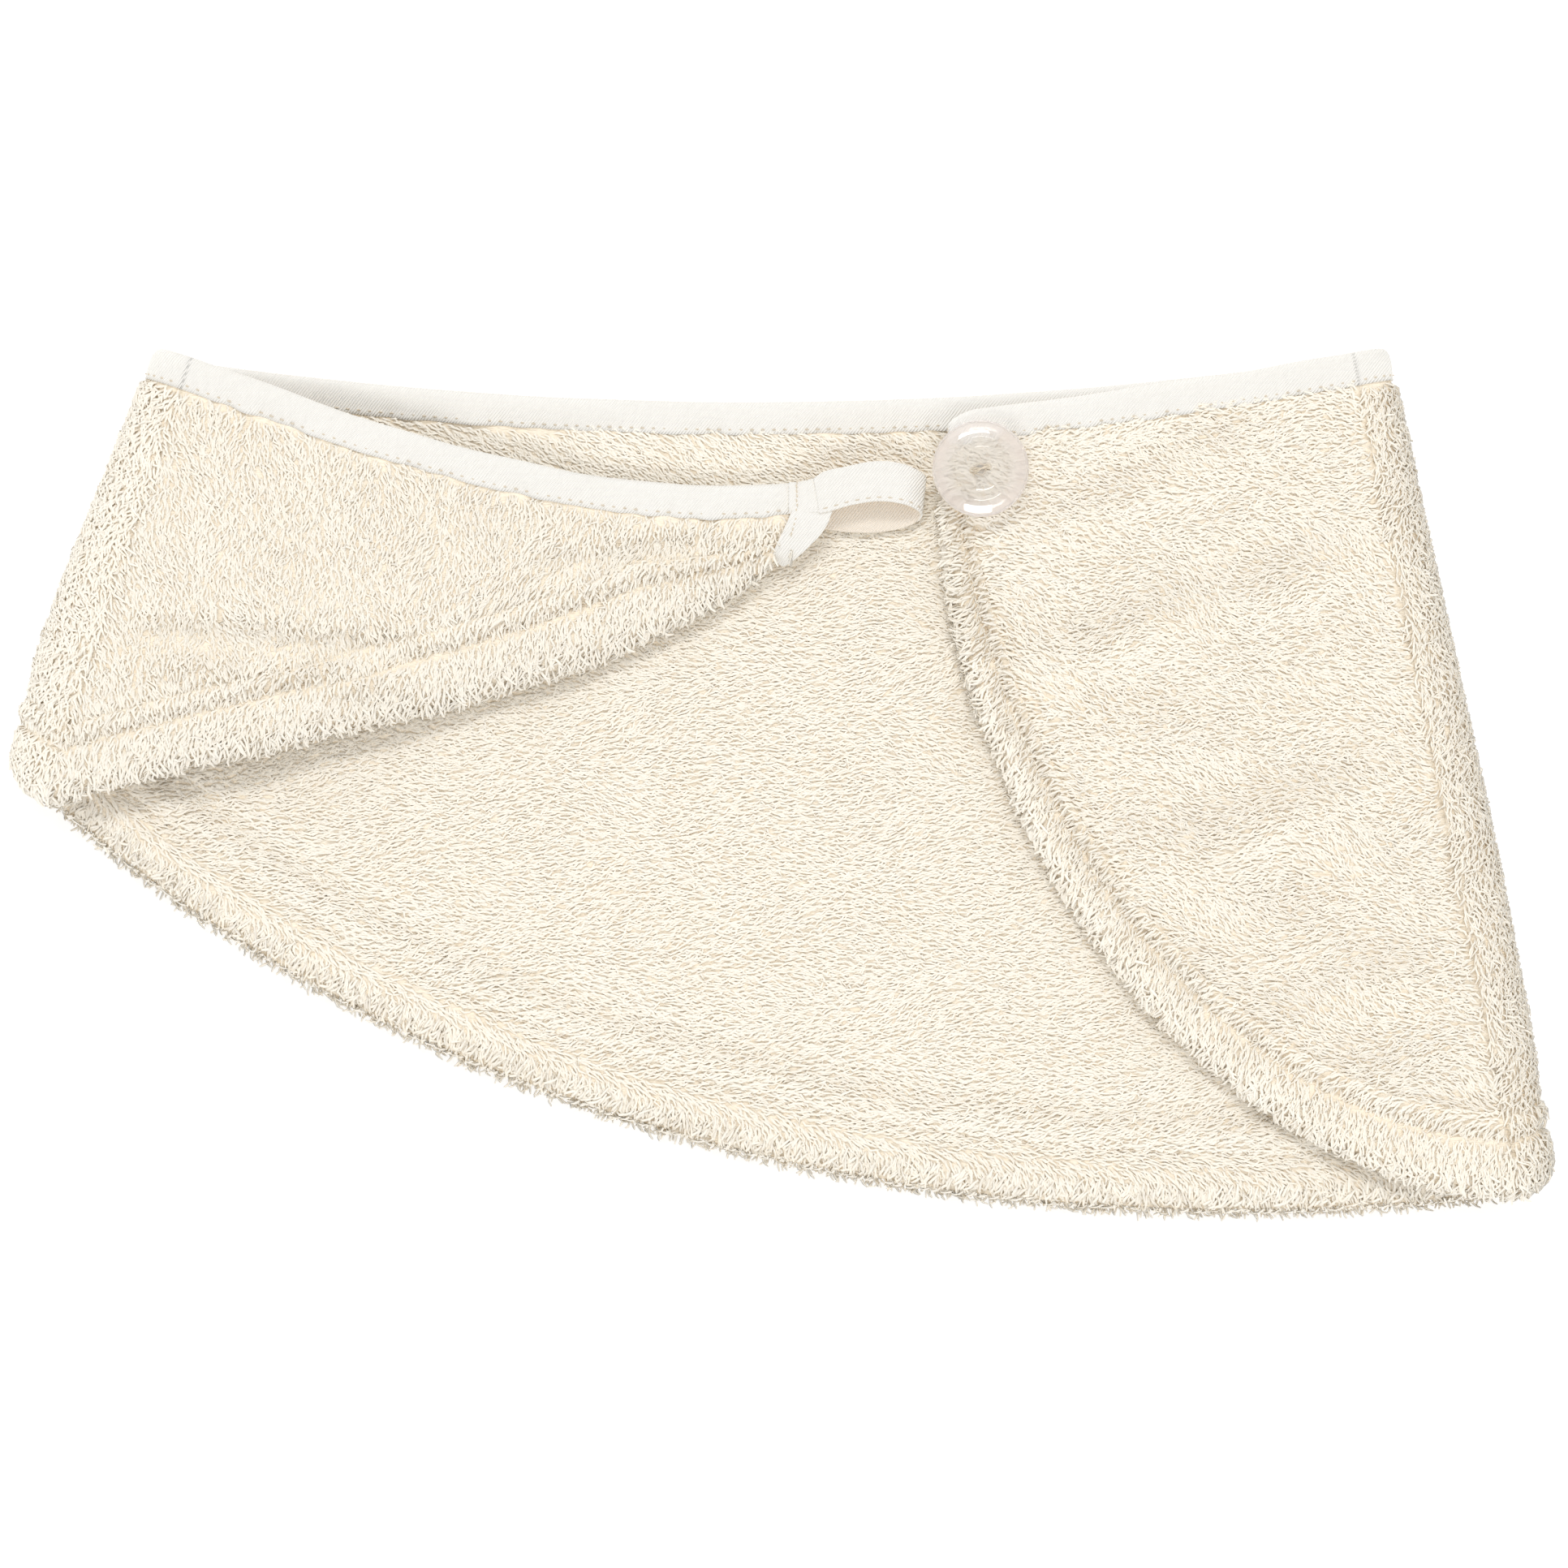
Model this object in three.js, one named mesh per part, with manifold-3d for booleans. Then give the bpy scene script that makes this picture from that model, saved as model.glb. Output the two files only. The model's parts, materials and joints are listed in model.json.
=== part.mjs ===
// A terry spa headband, laid flat with its two ends folded in over the back.
//
// One cut of terry cloth is bound along its straight edge with folded cotton tape and hemmed along its
// curved edge. One end carries a two-hole button, the other a loop of the same tape. The cloth is held
// here as three panels that meet on the two fold lines, so that each end can swing open.
//
// Millimetres, +Z up, the headband lying on the XY plane with the bound edge towards +Y.

import * as THREE from "three";
import { mergeVertices } from "three/addons/utils/BufferGeometryUtils.js";
import Module from "manifold-3d";

const wasm = await Module();
wasm.setup();

// ---- Driving dimensions ----

const foldedWidth = 380; // across the folded headband
const foldedDepth = 213; // from the bound edge to the curved hem
const clothThickness = 4.5; // terry with the pile on both faces
const gap = 0.3; // clearance between pieces that touch on the real headband

const leftFoldRadius = 10; // outside of the soft fold at the loop end
const rightFoldRadius = 8.5; // outside of the fold at the button end
const leftSlope = 150; // how far from the fold the loop end has come down to rest
const rightSlope = 80; // the same for the button end
const restClearance = 1.4; // between a resting hem and the back panel

const tapeWidth = 9; // each visible side of the folded binding
const tapeThickness = 0.6;
const boundCloth = 2.1; // terry squeezed inside the binding
const hemWidth = 20; // cloth turned back on the outer face
const hemLayer = 2.8; // thickness of the turned layer
const hemmedCloth = 3.4; // terry squeezed under the turned layer
const hemGroove = 1; // depth that the hem stitch pulls in
const hemGrooveWidth = 3;
const hemStitchInset = 14; // from the hemmed edge to its stitch line
const bindingStitchInset = 8; // from the bound edge to its stitch line
const easeIn = 5.6; // length over which squeezed cloth comes back to full thickness
const bindingEaseIn = 2.7;

const threadWidth = 0.8;
const threadHeight = 0.5;

const loopLength = 28; // how far the loop reaches past the end of the cloth
const loopWidth = 9.5;
const loopTape = 1.2; // folded tape, four layers
const loopHeight = 7.4; // outside of the standing loop
const loopLean = 0.6; // sideways lean of the loop for each unit of height
const loopAboveEnd = 14.5; // from the cloth's narrow lower corner up to the loop's middle
const tailWidth = 7; // tape turned round the narrow end of the cloth
const tackLength = 7;
const tackWidth = 1.4;
const loopStitchInset = 1.2; // from the loop's edge to its stitch line

const buttonDiameter = 23.6;
const buttonThickness = 4.4;
const buttonFloor = 2.2;
const buttonRim = 3.6; // width of the raised rim
const buttonHole = 2;
const buttonHolePitch = 3.6;
const buttonHoleTurn = THREE.MathUtils.degToRad(15);
const shankDiameter = 3.2;
const shankHeight = 1.8;
const sewingThread = 0.9; // bundle that passes through each hole
const knotLength = 5;
const knotWidth = 1.6;
const buttonInset = new THREE.Vector2(7.4, -14.2); // from the cloth's top corner at the button end

const COLUMNS_PER_FOLD = 4;
const COLUMNS_ACROSS_BACK = 18;
const COLUMNS_ACROSS_FLAP = 12;
const SIDES_ROUND = 32;

// ---- The pattern: edges in plan, drafted at one size and graded to the size above ----

const draftedWidth = 380;
const draftedDepth = 213;
const place = (x, y) =>
  new THREE.Vector2((x * foldedWidth) / draftedWidth, (y * foldedDepth) / draftedDepth);

const leftFold = { top: place(-153.5, 107), bottom: place(-189.5, -1), radius: leftFoldRadius };
const rightFold = { top: place(147, 107), bottom: place(188, -99), radius: rightFoldRadius };
for (const fold of [leftFold, rightFold]) {
  fold.length = fold.top.distanceTo(fold.bottom);
  fold.along = fold.bottom.clone().sub(fold.top).divideScalar(fold.length);
}
leftFold.inward = new THREE.Vector2(-leftFold.along.y, leftFold.along.x);
rightFold.inward = new THREE.Vector2(rightFold.along.y, -rightFold.along.x);

// Where the flat cloth starts, one fold radius in from the fold line.
const flatStart = (fold, corner) => corner.clone().addScaledVector(fold.inward, fold.radius);

const boundEdgeSag = place(0, 11.5).y;
const backTop = new THREE.QuadraticBezierCurve(
  flatStart(leftFold, leftFold.top),
  place(-3, 107).sub(new THREE.Vector2(0, 2 * boundEdgeSag)),
  flatStart(rightFold, rightFold.top),
);
const backHem = new THREE.CubicBezierCurve(
  flatStart(leftFold, leftFold.bottom),
  place(-110, -68),
  place(20, -121),
  flatStart(rightFold, rightFold.bottom),
);
const loopEndTop = place(5, 74.3);
const loopEndBottom = place(3.5, 55);
const leftTop = new THREE.CubicBezierCurve(
  flatStart(leftFold, leftFold.top),
  place(-105, 90),
  place(-50, 68),
  loopEndTop,
);
const leftHem = new THREE.CubicBezierCurve(
  flatStart(leftFold, leftFold.bottom),
  place(-118, 13),
  place(-40, 21),
  loopEndBottom,
);
const buttonEndTop = place(40.5, 91);
const buttonEndBottom = place(39.5, 68);
const rightTop = new THREE.QuadraticBezierCurve(
  flatStart(rightFold, rightFold.top),
  place(95, 97.5),
  buttonEndTop,
);
const rightHem = new THREE.CubicBezierCurve(
  flatStart(rightFold, rightFold.bottom),
  place(92, -97),
  place(39, 8),
  buttonEndBottom,
);

// ---- Columns: lines down the cloth, from the bound edge to the hem ----
//
// A column knows its length and turns (distance from the bound edge, depth below the outer face) into a
// point. Every layer is made from the same columns, so the layers nest without meeting.

// Half of a fold, from the fold line (angle 0) to the flat cloth (a quarter turn).
function foldColumns(fold, upward) {
  const start = gap / 2 / fold.radius;
  const columns = [];
  for (let i = 0; i < COLUMNS_PER_FOLD; i++) {
    const angle = THREE.MathUtils.lerp(start, Math.PI / 2, i / COLUMNS_PER_FOLD);
    columns.push({
      length: fold.length,
      at(distance, depth) {
        const reach = fold.radius - depth;
        const plan = fold.top
          .clone()
          .addScaledVector(fold.along, distance)
          .addScaledVector(fold.inward, fold.radius - reach * Math.cos(angle));
        return new THREE.Vector3(plan.x, plan.y, fold.radius + upward * reach * Math.sin(angle));
      },
    });
  }
  return columns;
}

// The cloth between two edges. height(plan) gives the outer face's height and the depth direction.
function flatColumns(top, hem, stations, height) {
  return stations.map((s) => {
    const from = top.getPoint(s);
    const to = hem.getPoint(s);
    const length = from.distanceTo(to);
    return {
      length,
      at(distance, depth) {
        const plan = from.clone().lerp(to, distance / length);
        const { z, inner } = height(plan);
        return new THREE.Vector3(plan.x, plan.y, z).addScaledVector(inner, depth);
      },
    };
  });
}

const onTable = () => ({ z: 0, inner: new THREE.Vector3(0, 0, 1) });

// The outer face of a flap: level as it leaves the fold, then down to rest on the back panel.
const hemmedThickness = hemLayer + gap + hemmedCloth;
const restHeight = clothThickness + restClearance + hemmedThickness;
function flapHeight(fold, slope) {
  return (plan) => {
    const across = plan.clone().sub(fold.top).dot(fold.inward) - fold.radius;
    const share = THREE.MathUtils.clamp(across / slope, 0, 1);
    const drop = 2 * fold.radius - restHeight;
    const z = restHeight + (drop * (1 + Math.cos(Math.PI * share))) / 2;
    const slant = share < 1 ? ((-drop * Math.PI) / (2 * slope)) * Math.sin(Math.PI * share) : 0;
    const inner = new THREE.Vector3(slant * fold.inward.x, slant * fold.inward.y, -1);
    return { z, inner: inner.normalize() };
  };
}

const even = (count, last = 1) =>
  Array.from({ length: count + 1 }, (_, i) => (last * i) / count);

const backColumns = [
  ...foldColumns(leftFold, -1),
  ...flatColumns(backTop, backHem, even(COLUMNS_ACROSS_BACK), onTable),
  ...foldColumns(rightFold, -1).reverse(),
];

// The loop end also has columns where its end tape starts and where the squeezed cloth has recovered.
const leftRun = loopEndTop.distanceTo(leftFold.top);
const endShare = (distance) => 1 - distance / leftRun;
const tailStart = endShare(tailWidth + gap);
const leftHeight = flapHeight(leftFold, leftSlope);
const leftBody = [
  ...foldColumns(leftFold, 1),
  ...flatColumns(
    leftTop,
    leftHem,
    even(COLUMNS_ACROSS_FLAP, endShare(tailWidth + gap + easeIn)),
    leftHeight,
  ),
];
const leftEnd = flatColumns(leftTop, leftHem, [tailStart, endShare(tapeThickness + gap)], leftHeight);
const leftColumns = [...leftBody, ...flatColumns(leftTop, leftHem, [1], leftHeight)];

const rightHeight = flapHeight(rightFold, rightSlope);
const rightColumns = [
  ...foldColumns(rightFold, 1),
  ...flatColumns(rightTop, rightHem, even(COLUMNS_ACROSS_FLAP), rightHeight),
];

// ---- Solids from columns ----

function solidGeometry(points, faces) {
  const geometry = new THREE.BufferGeometry().setFromPoints(points);
  let volume = 0;
  for (let i = 0; i < faces.length; i += 3) {
    const [a, b, c] = [points[faces[i]], points[faces[i + 1]], points[faces[i + 2]]];
    volume += a.dot(b.clone().cross(c));
  }
  geometry.setIndex(volume < 0 ? faces.slice().reverse() : faces);
  geometry.computeVertexNormals();
  return geometry;
}

// Triangles across a closed section, wound the way the section runs.
function capFaces(section) {
  const outline = section.map(([d, o]) => new THREE.Vector2(d, o));
  const faces = THREE.ShapeUtils.triangulateShape(outline, []);
  const corners = faces[0].map((i) => outline[i]);
  const turned = THREE.ShapeUtils.isClockWise(corners) !== THREE.ShapeUtils.isClockWise(outline);
  return turned ? faces.map((face) => face.reverse()) : faces;
}

// Carries a closed section along columns. section(column) lists [distance, depth] pairs.
function sweep(columns, section) {
  const rings = columns.map((column) => section(column));
  const size = rings[0].length;
  const points = rings.flatMap((ring, i) => ring.map(([d, o]) => columns[i].at(d, o)));
  const faces = [];
  for (let i = 0; i + 1 < rings.length; i++) {
    for (let k = 0; k < size; k++) {
      const [a, b] = [i * size + k, i * size + ((k + 1) % size)];
      faces.push(a, b, b + size, a, b + size, a + size);
    }
  }
  const last = (rings.length - 1) * size;
  for (const [a, b, c] of capFaces(rings[0])) faces.push(c, b, a);
  for (const [a, b, c] of capFaces(rings.at(-1))) faces.push(last + a, last + b, last + c);
  return solidGeometry(points, faces);
}

const rectangle = (d0, d1, o0, o1) => [
  [d0, o0],
  [d1, o0],
  [d1, o1],
  [d0, o1],
];

// ---- Layers, as depths below the outer face ----

const threadDepth = 0.2; // the top of a sunk stitch
const outerTapeDepth = threadDepth + threadHeight + gap - 0.1;
const boundClothDepth = outerTapeDepth + tapeThickness + gap;
const innerTapeDepth = boundClothDepth + boundCloth + gap;
const underTapeDepth = innerTapeDepth + tapeThickness + gap;
const hemmedClothDepth = hemLayer + gap;
const underHemDepth = hemmedThickness + gap;

// Short columns near a narrow end carry a narrower hem.
const bindingReach = tapeWidth + gap + bindingEaseIn;
const hemReach = hemWidth + gap + easeIn;
const hemShare = (column) => Math.min(1, (column.length - bindingReach - 1) / hemReach);
const fromHem = (column, distance) => column.length - distance * hemShare(column);

// The terry panel: squeezed in the binding, full, then squeezed under its turned hem.
function panelSection(column) {
  const outer = [
    [tapeThickness + gap, boundClothDepth],
    [tapeWidth + gap, boundClothDepth],
    [bindingReach, 0],
    [fromHem(column, hemReach), 0],
    [fromHem(column, hemWidth) - gap, hemmedClothDepth],
    [fromHem(column, hemLayer) - gap, hemmedClothDepth],
  ];
  const inner = [
    [fromHem(column, hemLayer) - gap, hemmedThickness],
    [fromHem(column, hemWidth) - gap, hemmedThickness],
    [fromHem(column, hemReach), clothThickness],
    [bindingReach, clothThickness],
    [tapeWidth + gap, boundClothDepth + boundCloth],
    [tapeThickness + gap, boundClothDepth + boundCloth],
  ];
  return [...outer, ...inner];
}

// The same number of points where the whole width is squeezed inside the end tape.
function endPanelSection(column) {
  const edges = panelSection(column).map(([distance]) => distance);
  const last = column.length - tapeThickness - gap;
  const spread = (i) => (i === 5 || i === 6 ? last : edges[i]);
  return edges.map((_, i) => [spread(i), i < 6 ? boundClothDepth : boundClothDepth + boundCloth]);
}

// Tape folded over an edge of the cloth.
const foldedTape = (width) => () => [
  [0, outerTapeDepth],
  [width, outerTapeDepth],
  [width, outerTapeDepth + tapeThickness],
  [tapeThickness, outerTapeDepth + tapeThickness],
  [tapeThickness, innerTapeDepth],
  [width, innerTapeDepth],
  [width, innerTapeDepth + tapeThickness],
  [0, innerTapeDepth + tapeThickness],
];

// Cloth turned round the panel's edge and back over its outer face, pulled in at the stitch line.
function hemSection(column) {
  const round = 1.2;
  const groove = (distance, depth) => [fromHem(column, distance), depth];
  return [
    groove(hemWidth, 0.4),
    groove(hemStitchInset + hemGrooveWidth / 2, 0),
    groove(hemStitchInset + hemGrooveWidth / 4, hemGroove),
    groove(hemStitchInset - hemGrooveWidth / 4, hemGroove),
    groove(hemStitchInset - hemGrooveWidth / 2, 0),
    groove(hemLayer, 0),
    groove(hemLayer - round, 0.4),
    groove(0, hemmedThickness / 2),
    groove(hemLayer - round, hemmedThickness - 0.4),
    groove(hemLayer, hemmedThickness),
    groove(hemLayer, hemLayer),
    groove(hemWidth, hemLayer),
  ];
}

const threadSection = (distance, width, depth) => (column) =>
  rectangle(
    distance(column) - width(column) / 2,
    distance(column) + width(column) / 2,
    depth,
    depth + threadHeight,
  );
const bindingStitch = () => bindingStitchInset;
const bindingThread = () => threadWidth;
const hemStitch = (column) => fromHem(column, hemStitchInset);
const hemThread = (column) => threadWidth * hemShare(column);

// ---- The loop, made of the binding tape where it runs on past the cloth ----

const loopStart = loopEndTop.x + gap;
const loopFoot = clothThickness + 0.6; // the loop's lower run, just clear of the back panel
const loopMiddle = loopFoot + loopHeight / 2;

function loopGeometry() {
  const outer = loopHeight / 2;
  const inner = outer - loopTape;
  const bend = loopStart + loopLength - outer;
  const outline = new THREE.Shape()
    .moveTo(loopStart, outer)
    .lineTo(bend, outer)
    .absarc(bend, 0, outer, Math.PI / 2, -Math.PI / 2, true)
    .lineTo(loopStart, -outer)
    .lineTo(loopStart, -inner)
    .lineTo(bend, -inner)
    .absarc(bend, 0, inner, -Math.PI / 2, Math.PI / 2, false)
    .lineTo(loopStart, inner);
  const strip = new THREE.ExtrudeGeometry(outline, {
    depth: loopWidth,
    bevelEnabled: false,
    curveSegments: 8,
  });
  strip.translate(0, 0, -loopWidth / 2);
  strip.rotateX(Math.PI / 2);
  return leanLoop(strip);
}

// Leans the loop towards the bound edge and lifts it to its height above the table.
function leanLoop(geometry) {
  geometry.applyMatrix4(new THREE.Matrix4().makeShear(0, 0, 0, 0, 0, loopLean));
  return geometry.translate(0, loopEndBottom.y + loopAboveEnd, loopMiddle);
}

// The edge stitch on the loop's upper run.
function loopStitchGeometry() {
  const length = loopLength - loopHeight;
  const thread = new THREE.BoxGeometry(length, threadWidth, threadHeight);
  thread.translate(
    loopStart + 1 + length / 2,
    loopStitchInset - loopWidth / 2,
    loopHeight / 2 + gap + threadHeight / 2,
  );
  return leanLoop(thread);
}

// Tape turned round the narrow end of the cloth, below the binding. Its stations run down the end.
function tailGeometry() {
  const stations = even(4).map((share) => ({
    at(distance, depth) {
      const column = flatColumns(leftTop, leftHem, [endShare(distance)], leftHeight)[0];
      const down = THREE.MathUtils.lerp(tapeWidth + gap, column.length, share);
      return column.at(down, depth);
    },
  }));
  return sweep(stations, foldedTape(tailWidth));
}

// The bar of close stitches that holds the loop to the end of the cloth.
function tackGeometry() {
  const column = flatColumns(leftTop, leftHem, [endShare(tailWidth / 2)], leftHeight)[0];
  const middle = column.at(tapeWidth + gap + tackLength / 2, outerTapeDepth - gap);
  const bar = new THREE.BoxGeometry(tackWidth, tackLength, threadHeight);
  return bar.translate(middle.x, middle.y, middle.z + threadHeight / 2);
}

// ---- The button and what sews it on ----

const buttonCentre = buttonEndTop.clone().add(buttonInset);
const clothUnderButton = rightHeight(buttonCentre).z;
const buttonSeat = clothUnderButton + gap + shankHeight + gap; // underside of the button

const onButton = (geometry, z) => geometry.translate(buttonCentre.x, buttonCentre.y, z);

const upright = (radius, height, sides = SIDES_ROUND) =>
  new THREE.CylinderGeometry(radius, radius, height, sides).rotateX(Math.PI / 2);

function toSolid(geometry) {
  const bare = new THREE.BufferGeometry();
  bare.setAttribute("position", geometry.getAttribute("position"));
  if (geometry.index) bare.setIndex(geometry.index);
  const merged = mergeVertices(bare, 1e-4);
  const mesh = new wasm.Mesh({
    numProp: 3,
    vertProperties: merged.attributes.position.array,
    triVerts: new Uint32Array(merged.index.array),
  });
  return new wasm.Manifold(mesh);
}

function fromSolid(solid) {
  const mesh = solid.getMesh();
  const geometry = new THREE.BufferGeometry();
  geometry.setAttribute("position", new THREE.BufferAttribute(mesh.vertProperties, 3));
  geometry.setIndex(new THREE.BufferAttribute(mesh.triVerts, 1));
  geometry.computeVertexNormals();
  return geometry;
}

// The places of the two holes, on a line turned a little from the button's X axis.
const holePlaces = [-1, 1].map((side) =>
  new THREE.Vector2((side * buttonHolePitch) / 2, 0).rotateAround(
    new THREE.Vector2(),
    buttonHoleTurn,
  ),
);

function buttonGeometry() {
  const r = buttonDiameter / 2;
  const dish = r - buttonRim;
  const profile = [
    [0, 0],
    [r - 3, 0],
    [r - 1, 0.8],
    [r, buttonThickness / 2],
    [r - 0.7, buttonThickness - 0.7],
    [r - buttonRim / 2, buttonThickness],
    [dish + 0.6, buttonThickness - 0.6],
    [dish - 0.9, buttonFloor],
    [0, buttonFloor],
  ].map(([x, y]) => new THREE.Vector2(x, y));
  const disc = new THREE.LatheGeometry(profile, SIDES_ROUND).rotateX(Math.PI / 2);
  let solid = toSolid(disc);
  for (const hole of holePlaces) {
    const drill = upright(buttonHole / 2, 4 * buttonFloor, 16).translate(hole.x, hole.y, 0);
    solid = solid.subtract(toSolid(drill));
  }
  return onButton(fromSolid(solid), buttonSeat);
}

// A staple of thread: down one hole, across the floor of the button, down the other.
function sewingGeometry() {
  const top = buttonFloor + gap + sewingThread / 2;
  const bridge = new THREE.BoxGeometry(buttonHolePitch + sewingThread, sewingThread, sewingThread)
    .rotateZ(buttonHoleTurn)
    .translate(0, 0, top);
  let solid = toSolid(bridge);
  for (const hole of holePlaces) {
    const leg = upright(sewingThread / 2, top, 12).translate(hole.x, hole.y, top / 2);
    solid = solid.add(toSolid(leg));
  }
  return onButton(fromSolid(solid), buttonSeat);
}

const shankGeometry = () =>
  onButton(
    upright(shankDiameter / 2, shankHeight, 20),
    clothUnderButton + gap + shankHeight / 2,
  );

const knotGeometry = () =>
  onButton(
    new THREE.BoxGeometry(knotLength, knotWidth, threadHeight).rotateZ(buttonHoleTurn),
    clothUnderButton - underHemDepth - threadHeight / 2,
  );

// ---- Materials ----

const finish = (color, roughness, extra = {}) =>
  new THREE.MeshStandardMaterial({ color, roughness, metalness: 0, ...extra });
const terry = finish(0xf0e4d0, 0.95);
const cotton = finish(0xf4f1e6, 0.85);
const stitching = finish(0xefe6d4, 0.7);
const clearPlastic = finish(0xf3e6dc, 0.08, { transparent: true, opacity: 0.4 });

// ---- The headband ----

const headband = new THREE.Group();
headband.name = "spa_headband";

function add(name, geometry, material) {
  const mesh = new THREE.Mesh(geometry, material);
  mesh.name = name;
  headband.add(mesh);
}

// The terry, its turned hem, its binding and the seams, panel by panel. Each seam has a thread on the
// outer face and one on the inner face.
const panels = [
  { name: "back", columns: backColumns, body: backColumns },
  { name: "loop_end", columns: leftColumns, body: leftBody },
  { name: "button_end", columns: rightColumns, body: rightColumns },
];
for (const { name, columns, body } of panels) {
  const end = name === "loop_end" ? leftEnd : [];
  const squeezed = new Set(end);
  const terrySection = (column) =>
    squeezed.has(column) ? endPanelSection(column) : panelSection(column);
  add(`${name}_terry`, sweep([...body, ...end], terrySection), terry);
  add(`${name}_hem`, sweep(body, hemSection), terry);
  add(`${name}_binding`, sweep(columns, foldedTape(tapeWidth)), cotton);
  const seams = [
    ["binding_needle_thread", columns, bindingStitch, bindingThread, threadDepth - 0.1],
    ["binding_bobbin_thread", columns, bindingStitch, bindingThread, underTapeDepth],
    ["hem_needle_thread", body, hemStitch, hemThread, threadDepth],
    ["hem_bobbin_thread", body, hemStitch, hemThread, underHemDepth],
  ];
  for (const [seam, run, distance, width, depth] of seams)
    add(`${name}_${seam}`, sweep(run, threadSection(distance, width, depth)), stitching);
}

add("loop_end_tail_tape", tailGeometry(), cotton);
add("loop_bar_tack", tackGeometry(), stitching);
add("loop_tape", loopGeometry(), cotton);
add("loop_edge_thread", loopStitchGeometry(), stitching);

add("button", buttonGeometry(), clearPlastic);
add("button_sewing_thread", sewingGeometry(), stitching);
add("button_thread_shank", shankGeometry(), stitching);
add("button_back_stitches", knotGeometry(), stitching);

// The origin is at the middle of the headband's footprint, on the table.
const box = new THREE.Box3().setFromObject(headband);
const middle = box.getCenter(new THREE.Vector3());
headband.position.set(-middle.x, -middle.y, -box.min.z);

export default headband;
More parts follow.
